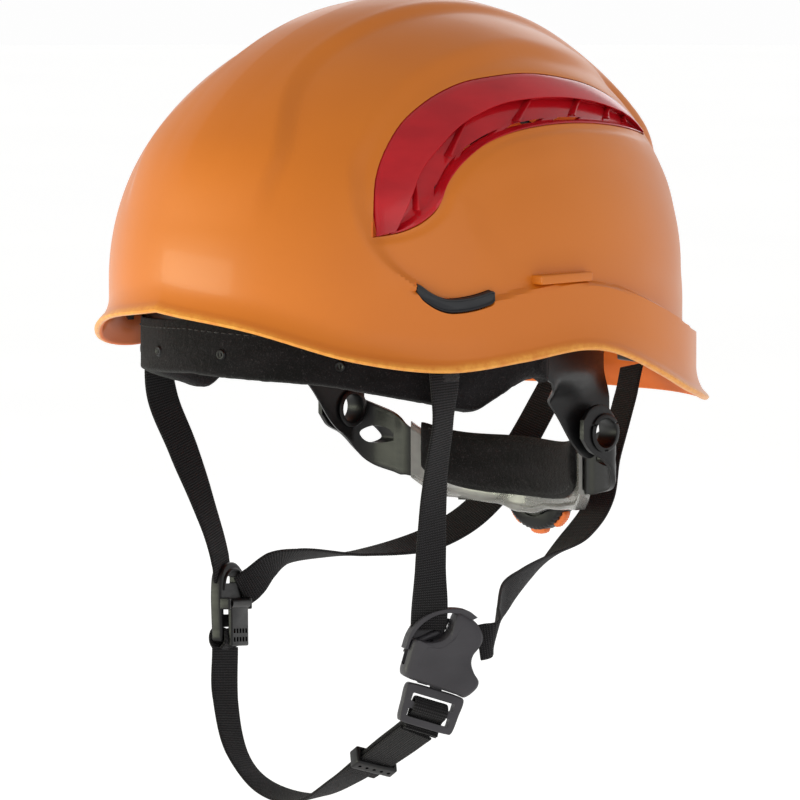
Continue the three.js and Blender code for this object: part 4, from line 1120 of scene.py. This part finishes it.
CRADLE_TURNS = (35, 90, 145)


def cradle():
    """Three crown tapes from clip to clip, crossing over the head."""
    for i, degrees in enumerate(CRADLE_TURNS):
        turn = math.radians(degrees)
        arc = np.radians(np.linspace(-82, 82, 400))
        x = 87 * math.sin(turn) * np.sin(arc)
        y = -111 * math.cos(turn) * np.sin(arc) + BAND_SHIFT * np.sin(arc) ** 2
        z = 26 + 78 * np.cos(arc) + 2 * i * np.cos(arc) ** 8 + 0.55
        across = np.array([110 * math.cos(turn), 88 * math.sin(turn), 0])
        wide = np.tile(across / np.linalg.norm(across), (len(arc), 1))
        name = f"cradle_strap_{i + 1}"
        obj = tape(name + "_tape", None, 31 + i, 18, 1.1, (np.column_stack([x, y, z]), wide))
        piece(obj, WEBBING, "helmet", name, slot="webbing")
        for side, word in ((1, "left"), (-1, "right")):
            cradle_clip(degrees, side, f"cradle_clip_{word}_{i + 1}")


def post(start, heading, width, height):
    """Ribbed post from a clip or an anchor out to the shell's inner surface."""
    bar = rounded(box("post", (width, 40, height), (0, -20, 0)), 0.8)
    rib = rounded(box("rib", (1.4, 40, height + 3.4), (0, -20, 0)), 0.5)
    carve(bar, rib, join=True)
    put(bar, Matrix.Translation(Vector(start) * MM) @ Matrix.Rotation(heading, 4, "Z"))
    middle = math.atan2(start[0] / HALF_WIDTH, -start[1] / HALF_LENGTH)
    lattice, faces = block(16, 1, 16)
    a, b, c = lattice.T
    beyond = shaped("beyond", shell_point(middle + (a - 0.5) * 0.7, mix(0.6, 1.0, c),
                                          mix(WALL - 0.8, -45, b)), faces)
    carve(bar, beyond)
    return bar


def cradle_clip(degrees, side, node):
    """Hook-in clip on the shell's inside, with a raised rib and a post out to the shell."""
    lattice, faces = block(10, 3, 12)
    a, b, c = lattice.T
    turn = math.radians(degrees) + (a - 0.5) * 0.2
    edge = np.minimum(np.minimum(a, 1 - a) / 0.12, np.minimum(c, 1 - c) / 0.08)
    rim = 0.5 * np.sqrt(np.clip(1 - (1 - np.clip(edge, 0, 1)) ** 2, 0, 1)) - 0.5
    rib = 0.7 * (np.abs(a - 0.5) < 0.16) * (np.abs(c - 0.5) < 0.36)
    out = mix(5.5, 9, b) + (rim + 0) * b - (rim + rib) * (1 - b)
    places = np.column_stack([(BAND_X + out) * np.sin(turn) * side,
                              BAND_SHIFT - (BAND_Y + out) * np.cos(turn),
                              mix(14, 35.5, c)])
    plate = shaped(node + "_detail", places, faces, 30)
    middle = math.radians(degrees)
    heading = math.atan2((BAND_Y + 9) * math.sin(middle), (BAND_X + 9) * math.cos(middle)) * side
    start = ((BAND_X + 7.5) * math.sin(middle) * side, BAND_SHIFT - (BAND_Y + 7.5) * math.cos(middle), 22)
    obj = combined(node + "_detail", [plate, post(start, heading, 8, 6)], 35)
    piece(obj, BLACK, "helmet", node, slot="black_plastic")


# ------------------------------------------------------------------ anchors and keeper
def anchor(name, x, y, z, turn):
    """Plate that a harness strap is threaded through: two rounded slots and two studs."""
    plate = rounded(box(name, (20, 3, 15)), 1.1)
    carve(plate, rounded(box("slot", (15.5, 6, 2.4), (0, 0, -4)), 0.5),
          rounded(box("slot", (9, 6, 2.2), (0, 0, 2)), 0.7))
    for at in (-7.4, 7.4):
        stud = lathe("stud", [(0.01, -2.2), (1.5, -2.2), (1.5, 2.1), (1.1, 2.5), (0.01, 2.5)], 20)
        stud.data.transform(Matrix.Rotation(math.pi / 2, 4, "X"))
        stud.data.transform(Matrix.Translation(Vector((at, 0, 4)) * MM))
        carve(plate, stud, join=True)
    put(plate, Matrix.Translation(Vector((x, y, z)) * MM) @ Matrix.Rotation(turn, 4, "Z"))
    return combined(name, [plate, post((x, y, z + 3), turn, 10, 6)], 35)


def anchors():
    for word, side in (("left", 1), ("right", -1)):
        front = anchor(f"front_anchor_{word}_detail", 84.5 * side, -57, 15, 1.16 * side)
        piece(front, BLACK, "helmet", f"front_anchor_{word}", slot="black_plastic")
        rear = anchor(f"rear_anchor_{word}_detail", 20 * side, 124, -6.6, (math.pi - 0.19) * side)
        piece(rear, BLACK, "helmet", f"rear_anchor_{word}", slot="black_plastic")


def keeper():
    """Strap keeper: a rounded loop whose front bar has a row of five holes."""
    along = Vector((0.83, -0.07, 0.55)).normalized()
    wide = Vector((0.3, 0.9, -0.25))
    wide = (wide - along * wide.dot(along)).normalized()
    ring = rounded(box("strap_keeper_detail", (19.6, 6, 8)), 0.9)
    holes = [put(lathe("hole", [(0.01, -3), (0.75, -3), (0.75, 3), (0.01, 3)], 16), Matrix.Translation(
        Vector((x, 0, 4)) * MM)) for x in (-7, -3.5, 0, 3.5, 7)]
    carve(ring, rounded(box("inside", (16.6, 10, 5.6)), 0.6), *holes)
    soften(ring, 35)
    turn = Matrix((wide, along, wide.cross(along))).transposed().to_4x4()
    put(ring, Matrix.Translation(Vector((29.4, -41.9, -169)) * MM) @ turn)
    piece(ring, BLACK, "chin", "strap_keeper", slot="black_plastic")


# ------------------------------------------------------------------ chin buckle
BUCKLE = frame_matrix((70, -39.5, -119), (0.482, 0.82, -0.309), (0.15, 0.27, 0.95))
BODY_OUTLINE = [(-16.6, -4), (-16.5, -9), (-16.2, -13.2), (-14.4, -15.2), (-8, -15.9), (2, -16.3),
                (9, -16.5),
                (12.6, -16.4), (15.9, -12), (16, -8.6), (13.2, -6), (10.8, -2.6), (10.4, 1), (11.8, 4.6),
                (12.4, 8),
                (11, 11.4), (7.6, 14.2), (2.6, 15.9), (-1.2, 16.2), (-2, 12), (-2.2, 8), (-4.4, 4),
                (-8.4, 1.6),
                (-12, 0.8), (-16, 0.4)]
LOOP_OUTLINE = [(-18.4, -4.4), (-18.2, 2), (-16, 8.4), (-11.5, 13.2), (-5, 16.6), (2, 18), (7.4, 16.4)]
LOOP_INNER = [(5, 14.4), (-1, 15.4), (-6, 14.4), (-10.8, 11.4), (-14.8, 6.6), (-16.8, 1), (-17, -4.2)]


def smooth_outline(points, count=140):
    return catmull(points, count, closed=True)


def buckle_female():
    """Socket of the side-release buckle: bulged body, release windows, strap recess and outer loop."""
    outline = smooth_outline(BODY_OUTLINE)
    centre = np.array([-0.5, -1.5])
    rings = []
    for height, share in ((-4.2, 0.955), (-3.6, 0.985), (-2.8, 1), (1.8, 1), (3.0, 0.985), (3.9, 0.955),
                          (4.5, 0.91)):
        flat = centre + (outline - centre) * share
        rings.append(np.column_stack([flat, np.full(len(flat), height)]))
    for share, height in ((0.75, 4.9), (0.5, 5.1), (0.25, 5.2), (0.02, 5.2)):
        flat = centre + (outline - centre) * share * 0.91 / 0.91
        rings.append(np.column_stack([flat, np.full(len(flat), height)]))
    body = shaped("buckle_female_detail", *loft(np.array(rings)), crease=32)
    socket = rounded(box("socket", (21, 22, 5.4), (0, -9, 0)), 0.5)
    windows = [rounded(box("window", (6, 7.4, 4.2), (16.4 * s, -7.6 + (s < 0) * 0.6, 0)), 0.8) for s in (1,
                                                                                                         -1)]
    rear_slot = rounded(box("slot", (2.6, 8, 14), (9.2, 3.4, -6.4)), 0.4)
    carve(body, socket, *windows, rear_slot)
    seam = [(1.4, 15.6), (1.0, 9), (-0.8, 4.2), (-4.4, 0.4), (-10, -1.4), (-10.6, -8), (-10.4, -15)]
    groove = tube("groove", np.column_stack([catmull(seam, 40), np.full(40, 5.25)]), 0.3)
    carve(body, groove)
    loop_line = catmull(LOOP_OUTLINE, 60)
    inner_line = catmull(LOOP_INNER, 60)
    outline = np.vstack([loop_line, inner_line])
    loop = rounded(prism("loop", outline, -3.4, 3.4), 0.6)
    bar_line = np.column_stack([catmull([(-17.2, -4.4), (-11.5, 0.6), (-4.6, 6.5)], 30), np.full(30, -2.6)])
    bar = tube("bar", bar_line, 1.5)
    back = rounded(prism("back", [(-17, -6), (-9, -3), (-3, 4), (-2, 12.5), (-6, 12), (-12, 8), (-16, 3)],
                         -4.1, -2.9), 0.4)
    obj = combined("buckle_female_detail", [body, loop, bar, back], 32)
    put(obj, BUCKLE)
    piece(obj, GREY, "helmet", "buckle_female", slot="buckle_grey")


def tube(name, line, radius):
    """A round bar along a path, with domed ends."""
    line = np.asarray(line, float)
    along = np.gradient(line, axis=0)
    along /= np.linalg.norm(along, axis=1, keepdims=True)
    side = np.cross(along, [0.13, 0.22, 0.97])
    side /= np.linalg.norm(side, axis=1, keepdims=True)
    up = np.cross(side, along)
    travel = np.concatenate([[0], np.cumsum(np.linalg.norm(np.diff(line, axis=0), axis=1))])
    end = np.minimum(travel, travel[-1] - travel) / radius
    width = radius * np.sqrt(np.clip(1 - (1 - np.clip(end, 0.02, 1)) ** 2, 0.01, 1))
    turns = np.linspace(0, 2 * math.pi, 16, endpoint=False)
    ring = line[:, None] + (side[:, None] * np.cos(turns)[None, :, None]
                            + up[:, None] * np.sin(turns)[None, :, None]) * width[:, None, None]
    return shaped(name, *loft(ring), crease=50)


def buckle_male():
    """Plug of the buckle: rounded frame with two strap slots, a cross bar and the guide tongue."""
    frame_outline = smooth_outline([(-12.5, -18), (-12.3, -25), (-11.6, -32), (-9, -33.2), (0, -33.3),
                                    (9, -33.2),
                                    (11.6, -32), (12.3, -25), (12.5, -18), (9, -16.8), (0, -16.7),
                                    (-9, -16.8)])
    body = rounded(prism("buckle_male_detail", frame_outline, -2.5, 2.5), 0.8)
    slots = [rounded(box("slot", (18.4, 3.5, 8), (0, y, 0)), 0.5) for y in (-22.2, -28.6)]
    carve(body, *slots)
    tongue = rounded(box("tongue", (5, 16, 2.6), (0, -10.5, 0)), 0.6)
    carve(body, tongue, join=True)
    teeth = [rounded(box("tooth", (15, 0.7, 0.7), (0, -25.4 + k * 1.1, 2.5)), 0.2) for k in (-0.5, 0.5)]
    obj = combined("buckle_male_detail", [body] + teeth, 35)
    put(obj, BUCKLE)
    piece(obj, GREY, "chin", "buckle_male", slot="buckle_grey")
    loop = tape("chin_strap_loop", None, 77, 14.6, 1.2, chin_loop())
    put(loop, BUCKLE)
    piece(loop, WEBBING, "chin", slot="webbing")


def chin_loop():
    """Tape that comes up behind the plug, over its cross bar and back down."""
    line = [(0, -35.5, -1.2), (0, -31.5, -1.9), (0, -29, -0.4), (0, -27.3, 2.4), (0, -25.4, 3.4),
            (0, -23.6, 2.4),
            (0, -22.2, 0), (0, -22.4, -2.4), (0, -25.4, -3.5), (0, -30, -3.6), (0, -36.5, -3.2)]
    points = catmull(line, 400)
    return points, np.tile([1.0, 0, 0], (400, 1))


def prongs():
    outline = [(4.1, -16.2), (8.3, -16.2), (8.4, -9), (9.2, -7), (8.9, -4.4), (8.2, -2), (6.9, -1.1),
               (5.7, -1.1),
               (4.8, -5), (4.2, -11)]
    for word, body, side in (("rear", "prong_rear", 1), ("front", "prong_front", -1)):
        obj = rounded(prism(f"buckle_prong_{word}_detail", outline, -1.3, 1.3), 0.35)
        if side < 0:
            other = mirror_copy(obj, "other")
            bpy.data.objects.remove(obj)
            other.name = f"buckle_prong_{word}_detail"
            obj = other
            soften(obj, 40)
        put(obj, BUCKLE)
        piece(obj, GREY, body, f"buckle_prong_{word}", slot="buckle_grey")


# ------------------------------------------------------------------ side divider
DIVIDER = frame_matrix((-70.5, -30, -112), (-0.31, 0.95, -0.1), (-0.1, 0.1, 0.99))
DIVIDER_OUTLINE = [(-9, -17), (0, -17.4), (9, -17), (10, -12), (10.7, -7), (13, 0), (13.2, 5), (11, 11.5),
                   (5, 15.8),
                   (-1, 16.4), (-6, 15), (-9.4, 10.8), (-10.6, 3), (-10.4, -6), (-10, -12)]


def divider():
    """Three-way slider: front and rear straps enter at the top, the chin strap is held under the lever."""
    body = rounded(prism("divider_body_detail", smooth_outline(DIVIDER_OUTLINE, 110), -2.5, 2.5), 0.9)
    slots = [rounded(box("slot", (wide, high, 10), (0, y, 0)), 0.5)
             for wide, high, y in ((16, 3.2, -12.5), (16, 3.2, -4), (14, 3, 9))]
    carve(body, *slots)
    lugs = [rounded(box("lug", (2, 5, 5.2), (x, -1, 4)), 0.6) for x in (-9.4, 9.4)]
    carve(body, *lugs, join=True)
    ridge_line = np.column_stack([catmull([(-8, 4.5), (-5.5, 10.5), (0, 13.2), (6, 12.4), (10, 7)], 40),
                                  np.full(40, 2.4)])
    obj = combined("divider_body_detail", [body, tube("ridge", ridge_line, 0.8)], 35)
    put(obj, DIVIDER)
    piece(obj, BLACK, "helmet", "divider_body", slot="black_plastic")

    flap = rounded(box("divider_lever_detail", (15, 18, 2), (0, -10, 5.2)), 0.6)
    boss = lathe("boss", [(1.3, -7.8), (2.2, -7.8), (2.2, 7.8), (1.3, 7.8)], 32)
    boss.data.transform(Matrix.Rotation(math.pi / 2, 4, "Y"))
    boss.data.transform(Matrix.Translation(Vector((0, -1, 5)) * MM))
    carve(flap, boss, join=True)
    holes = [rounded(box("hole", (1.6, 2, 6), (-5.2 + 2.6 * column, -12.6 - 3.6 * row, 5)), 0.3)
             for row in range(2) for column in range(5)]
    carve(flap, *holes)
    soften(flap, 35)
    put(flap, DIVIDER)
    piece(flap, BLACK, "lever", "divider_lever", slot="black_plastic")
    pin = lathe("divider_pin_detail", [(0.01, -10.2), (0.8, -10.2), (1, -9.9), (1, 9.9), (0.8, 10.2),
                                       (0.01, 10.2)], 24)
    pin.data.transform(Matrix.Rotation(math.pi / 2, 4, "Y"))
    pin.data.transform(Matrix.Translation(Vector((0, -1, 5)) * MM))
    put(pin, DIVIDER)
    piece(pin, STEEL, "helmet", "divider_pin", slot="pin_steel")


# ------------------------------------------------------------------ nape adjuster
def nape_point(degrees, radius, z):
    turn = np.radians(degrees)
    return np.stack([radius * np.sin(turn), radius * np.cos(turn), z + 0 * turn], -1)


ARM_PATH = [(77.5, 32), (77.5, 44.5), (76.3, 52), (70, 57.3), (60.5, 60), (54, 60.6), (48.5, 63.6)]
arm_half = profile([(0, 4), (0.06, 9), (0.17, 11.5), (0.3, 12), (0.5, 13.2), (0.75, 12.2), (0.85, 10.8),
                    (1, 10)])
arm_height = profile([(0, -33), (0.17, -35), (0.42, -45), (0.7, -50.7), (0.85, -53), (1, -55.2)])


def nape_arms():
    """Arms from the hollow pivots into the nape housing, built in one fixed shape."""
    lattice, faces = block(2, 24, 150)
    a, b, c = lattice.T
    line = catmull(ARM_PATH, 151)
    along = np.gradient(line, axis=0)
    along /= np.linalg.norm(along, axis=1, keepdims=True)
    step = np.round(c * 150).astype(int)
    rim = 0.25 * np.exp(-((1 - np.abs(2 * b - 1)) / 0.09) ** 2)
    half = (1.1 + rim) * (a * 2 - 1) * (1 - 0.35 * np.abs(2 * b - 1) ** 20)
    half *= mix(1, 0.55, smooth(c, 0.6, 0.9))
    places = np.column_stack([line[step, 0] + along[step, 1] * half, line[step, 1] - along[step, 0] * half,
                              arm_height(c) + (b * 2 - 1) * arm_half(c)])
    left = shaped("nape_arm_detail_left", places, faces, 40)
    lens = catmull([(52.8, -46.5), (55, -44), (57.6, -43.4), (59.4, -48), (57.6, -50.6), (54.6, -50)], 40,
                   closed=True)
    carve(left, side_prism("bore", circle(PIVOT_Y, PIVOT_Z, 6.9, 48), 40, 100),
          side_prism("lens", lens, 60, 90))
    soften(left, 35)
    for obj, side in ((left, 1), (mirror_copy(left, "nape_arm_detail_right"), -1)):
        word = "left" if side > 0 else "right"
        soften(obj, 35)
        obj.data.materials.clear()
        obj.data.materials.append(BLACK)
        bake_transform(obj)
        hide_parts(f"nape_arm_{word}")


def pivot_rivets():
    for word, side in (("left", 1), ("right", -1)):
        section = [(6.1, -5.2), (6.3, -5.5), (7.7, -5.4), (8.1, -5.1), (8.1, -4.7), (6.8, -4.6), (6.7, 4.1),
                   (8.1, 4.1), (8.1, 4.5), (7.7, 4.8), (6.4, 4.9), (6.1, 4.6)]
        ring = lathe(f"pivot_rivet_{word}_detail", section, 72)
        notches = []
        for k in range(3):
            notch = rounded(box("notch", (0.9, 2.2, 3), (7.4 * math.cos(k * 2.1), 7.4 * math.sin(k * 2.1),
                                                         5.6)), 0.3)
            notches.append(notch)
        carve(ring, *notches)
        soften(ring, 35)
        ring.data.transform(Matrix.Rotation(math.pi / 2 * side, 4, "Y"))
        ring.data.transform(Matrix.Translation(Vector((PIVOT_X * side, PIVOT_Y, PIVOT_Z)) * MM))
        piece(ring, BLACK, "helmet", f"pivot_rivet_{word}", slot="black_plastic")


HOUSING_ARC = 40


def housing_half(degrees):
    return mix(12.6, 13.2, smooth(HOUSING_ARC - np.abs(degrees), 0, 18)) - 0.6


def housing_middle(degrees):
    return NAPE_Z + 2.5 + 12 * (np.abs(degrees) / HOUSING_ARC) ** 3.7


def housing_lift(degrees):
    return 2.6 * (1 - smooth(np.abs(degrees), 22, 33)) * smooth(np.abs(degrees), 3, 11)


def nape_housing():
    """Clear-grey channel with rolled edges and a swelling round the pinion."""
    section = [(82.2, -1.6), (82.5, -0.9), (82.2, 0), (79, 0.15), (78, 0), (77.4, -0.9)]
    rings = []
    for degrees in np.linspace(-HOUSING_ARC, HOUSING_ARC, 120):
        half = float(housing_half(degrees))
        upper = [(r, half + dz) for r, dz in section]
        base = -half + float(housing_lift(degrees))
        middle_out = [(77.4, half - 4), (77.4, 4 + base)]
        lower = [(r, base - dz) for r, dz in section[::-1]]
        back = [(r, base - dz) for r, dz in [(82.2, -1.6), (80, -1.6), (78.9, -2.4)]]
        front = [(78.9, half - 2.4), (80, half - 1.6)]
        ring = upper + middle_out + lower + back[1:] + [(78.9, 0.0)] + front
        rings.append([nape_point(degrees, r, housing_middle(degrees) + z) for r, z in ring])
    obj = shaped("nape_housing_detail", *loft(np.array(rings)), crease=50)
    piece(obj, SMOKE, "adjuster", "nape_housing", slot="smoke_plastic")

    lattice, faces = block(90, 2, 16)
    degrees = mix(-HOUSING_ARC, HOUSING_ARC, lattice[:, 0])
    half = housing_half(degrees) - 2.1
    swell = 0.5 * np.exp(-((degrees / 14) ** 2))
    radius = mix(81.2, 82.5, lattice[:, 1]) + swell * lattice[:, 1]
    height = housing_middle(degrees) + mix(housing_lift(degrees) - half, half, lattice[:, 2])
    cover = shaped("nape_cover_detail", nape_point(degrees, radius, height), faces, 40)
    shaft = lathe("hole", [(0.01, -8), (4, -8), (4, 8), (0.01, 8)], 40)
    shaft.data.transform(Matrix.Rotation(math.pi / 2, 4, "X"))
    shaft.data.transform(Matrix.Translation(Vector((0, NAPE_RADIUS, NAPE_Z)) * MM))
    carve(cover, shaft)
    slots = []
    for side in (1, -1):
        turn = np.radians(np.linspace(14, 33, 20) * side)
        ring = [[(r * math.sin(t), r * math.cos(t), NAPE_Z + z) for r,
                 z in ((79.5, -2), (86, -2), (86, 2), (79.5, 2))]
                for t in turn]
        slots.append(shaped("slot", *loft(np.array(ring))))
    carve(cover, *slots)
    soften(cover, 35)
    piece(cover, SMOKE, "adjuster", "nape_cover", slot="smoke_plastic")


def nape_pad():
    """Velour foam pad on the inside of the nape housing, edge-sewn and plump between its seams."""
    rings = []
    steps = 56
    angles = np.linspace(-36.5, 36.5, 110)
    for degrees in angles:
        end = math.sqrt(max(1 - (abs(degrees) / 36.6) ** 10, 0.02))
        middle = float(housing_middle(degrees))
        high = middle + 20 - 3.5 * (degrees / 37) ** 2 - 1.5 * (1 - end)
        low = middle - 5 + 1.5 * (1 - end)
        r = NAPE_RADIUS
        corners = [(r - 3.1, low + 1), (r - 3.1, (low + high) / 2), (r - 3.1, high - 1), (r - 3.9, high),
                   (r - 5.0, high - 1.2), (r - 4.9 - 1.6 * end, high - 4),
                   (r - 5 - 2.4 * end, (low + high) / 2),
                   (r - 4.9 - 1.6 * end, low + 4), (r - 5.0, low + 1.2), (r - 3.9, low)]
        section = catmull(corners, steps, closed=True)
        rings.append(nape_point(np.full(steps, degrees), section[:, 0], section[:, 1]))
    obj = shaped("nape_pad_foam", *loft(np.array(rings)), crease=80)
    share = np.tile(np.arange(steps) / steps, len(angles))
    end_ring = np.repeat((np.arange(len(angles)) < 2) | (np.arange(len(angles)) > len(angles) - 3), steps)
    upper_seam, lower_seam = np.abs(share - 0.42) < 0.012, np.abs(share - 0.79) < 0.012
    held = (share < 0.3) | (share > 0.93) | end_ring | upper_seam | lower_seam
    inflate(obj, held, 4.0, 1.2)
    soften(obj, 80)
    piece(obj, VELOUR, "adjuster", "nape_pad", slot="velour")
    angles = np.linspace(-34.5, 34.5, 120)
    for name, rise in (("upper", 18.1 - 3.5 * (angles / 37) ** 2), ("lower", -3.1)):
        line = nape_point(angles, NAPE_RADIUS - 5.15, housing_middle(angles) + rise)
        seam = stitches(f"nape_pad_seam_{name}", line, -line * np.array([1, 1, 0]))
        piece(seam, THREAD, "adjuster", slot="velour")


def facing_rear(obj, y):
    obj.data.transform(Matrix.Rotation(-math.pi / 2, 4, "X"))
    obj.data.transform(Matrix.Translation(Vector((0, y, NAPE_Z)) * MM))
    return obj


def knob():
    """Ribbed adjuster wheel with a dished face, and eight orange grip segments set in its rim."""
    turns = np.linspace(0, 2 * math.pi, 384, endpoint=False)
    ribs = np.abs(np.cos(turns * 24)) ** 0.7
    rings = []
    for height, radius, depth in ((0, 16.3, 0), (0.5, 17.3, 0.2), (1.1, 17.8, 0.5), (2.2, 17.9, 0.6),
                                  (7.4, 17.9, 0.6),
                                  (8.3, 17.4, 0.5), (8.9, 16.6, 0.2), (9.0, 15.6, 0), (8.8, 13.4, 0),
                                  (8.0, 11.6, 0),
                                  (7.5, 9.0, 0), (7.4, 5.0, 0), (7.5, 0.3, 0)):
        r = radius + depth * (ribs - 0.6)
        rings.append(np.column_stack([r * np.cos(turns), r * np.sin(turns), np.full(384, height)]))
    body = shaped("knob_detail", *loft(np.array(rings)), crease=45)
    carve(body, lathe("pocket", [(4.2, -1), (12.4, -1), (12.4, 1.6), (4.2, 1.6)], 64))
    spokes = []
    for k in range(3):
        spoke = rounded(box("spoke", (8, 2.0, 1.2), (6.4, 0, 7.7)), 0.4)
        spoke.data.transform(Matrix.Rotation(k * 2 * math.pi / 3, 4, "Z"))
        spokes.append(spoke)
    hub = lathe("hub", [(0.01, -1.2), (3, -1.2), (3, 1.2), (0.01, 1.2)], 32)
    obj = combined("knob_detail", [body, hub] + spokes, 40)
    facing_rear(obj, 83.4)
    piece(obj, BLACK, "knob", "knob", slot="black_plastic")
    segments = []
    for k in range(8):
        around = np.linspace(-0.24, 0.24, 26) + k * math.pi / 4
        rings = []
        for i, angle in enumerate(around):
            end = math.sqrt(max(1 - abs(2 * i / 25 - 1) ** 4, 0.03))
            crest = 18.4 + 1.5 * end + 0.18 * math.cos(angle * 96)
            section = [(17.8, 2.7), (crest - 0.5, 2.7 + 0.1 / end), (crest, 3.3), (crest, 5.7),
                       (crest - 0.5, 6.3),
                       (17.8, 6.3)]
            rings.append([(r * math.cos(angle), r * math.sin(angle), h) for r, h in section])
        segments.append(shaped("segment", *loft(np.array(rings)), crease=50))
    grip = combined("knob_grip_detail", segments, 50)
    facing_rear(grip, 83.4)
    piece(grip, ACCENT, "knob", "knob_grip", slot="accent_orange")


def carried_over():
    """CAD pieces whose shape is already right get rolled edges and their material."""
    finishes = {"rear_plate": PLATE, "rack_left": BLACK, "rack_right": BLACK, "pinion": BLACK,
                "detent_ring": BLACK}
    for name, material in finishes.items():
        node = NODES[name]
        node.data.materials.clear()
        node.data.materials.append(material)
        modifier = node.modifiers.new("round", "BEVEL")
        modifier.width = 0.15 * MM
        modifier.segments = 2
        modifier.limit_method = "ANGLE"


shell()
vents()
slot_plugs()
headband()
sweatband()
band_pegs()
straps()
cradle()
anchors()
keeper()
buckle_female()
buckle_male()
prongs()
divider()
nape_arms()
pivot_rivets()
nape_housing()
nape_pad()
knob()
carried_over()
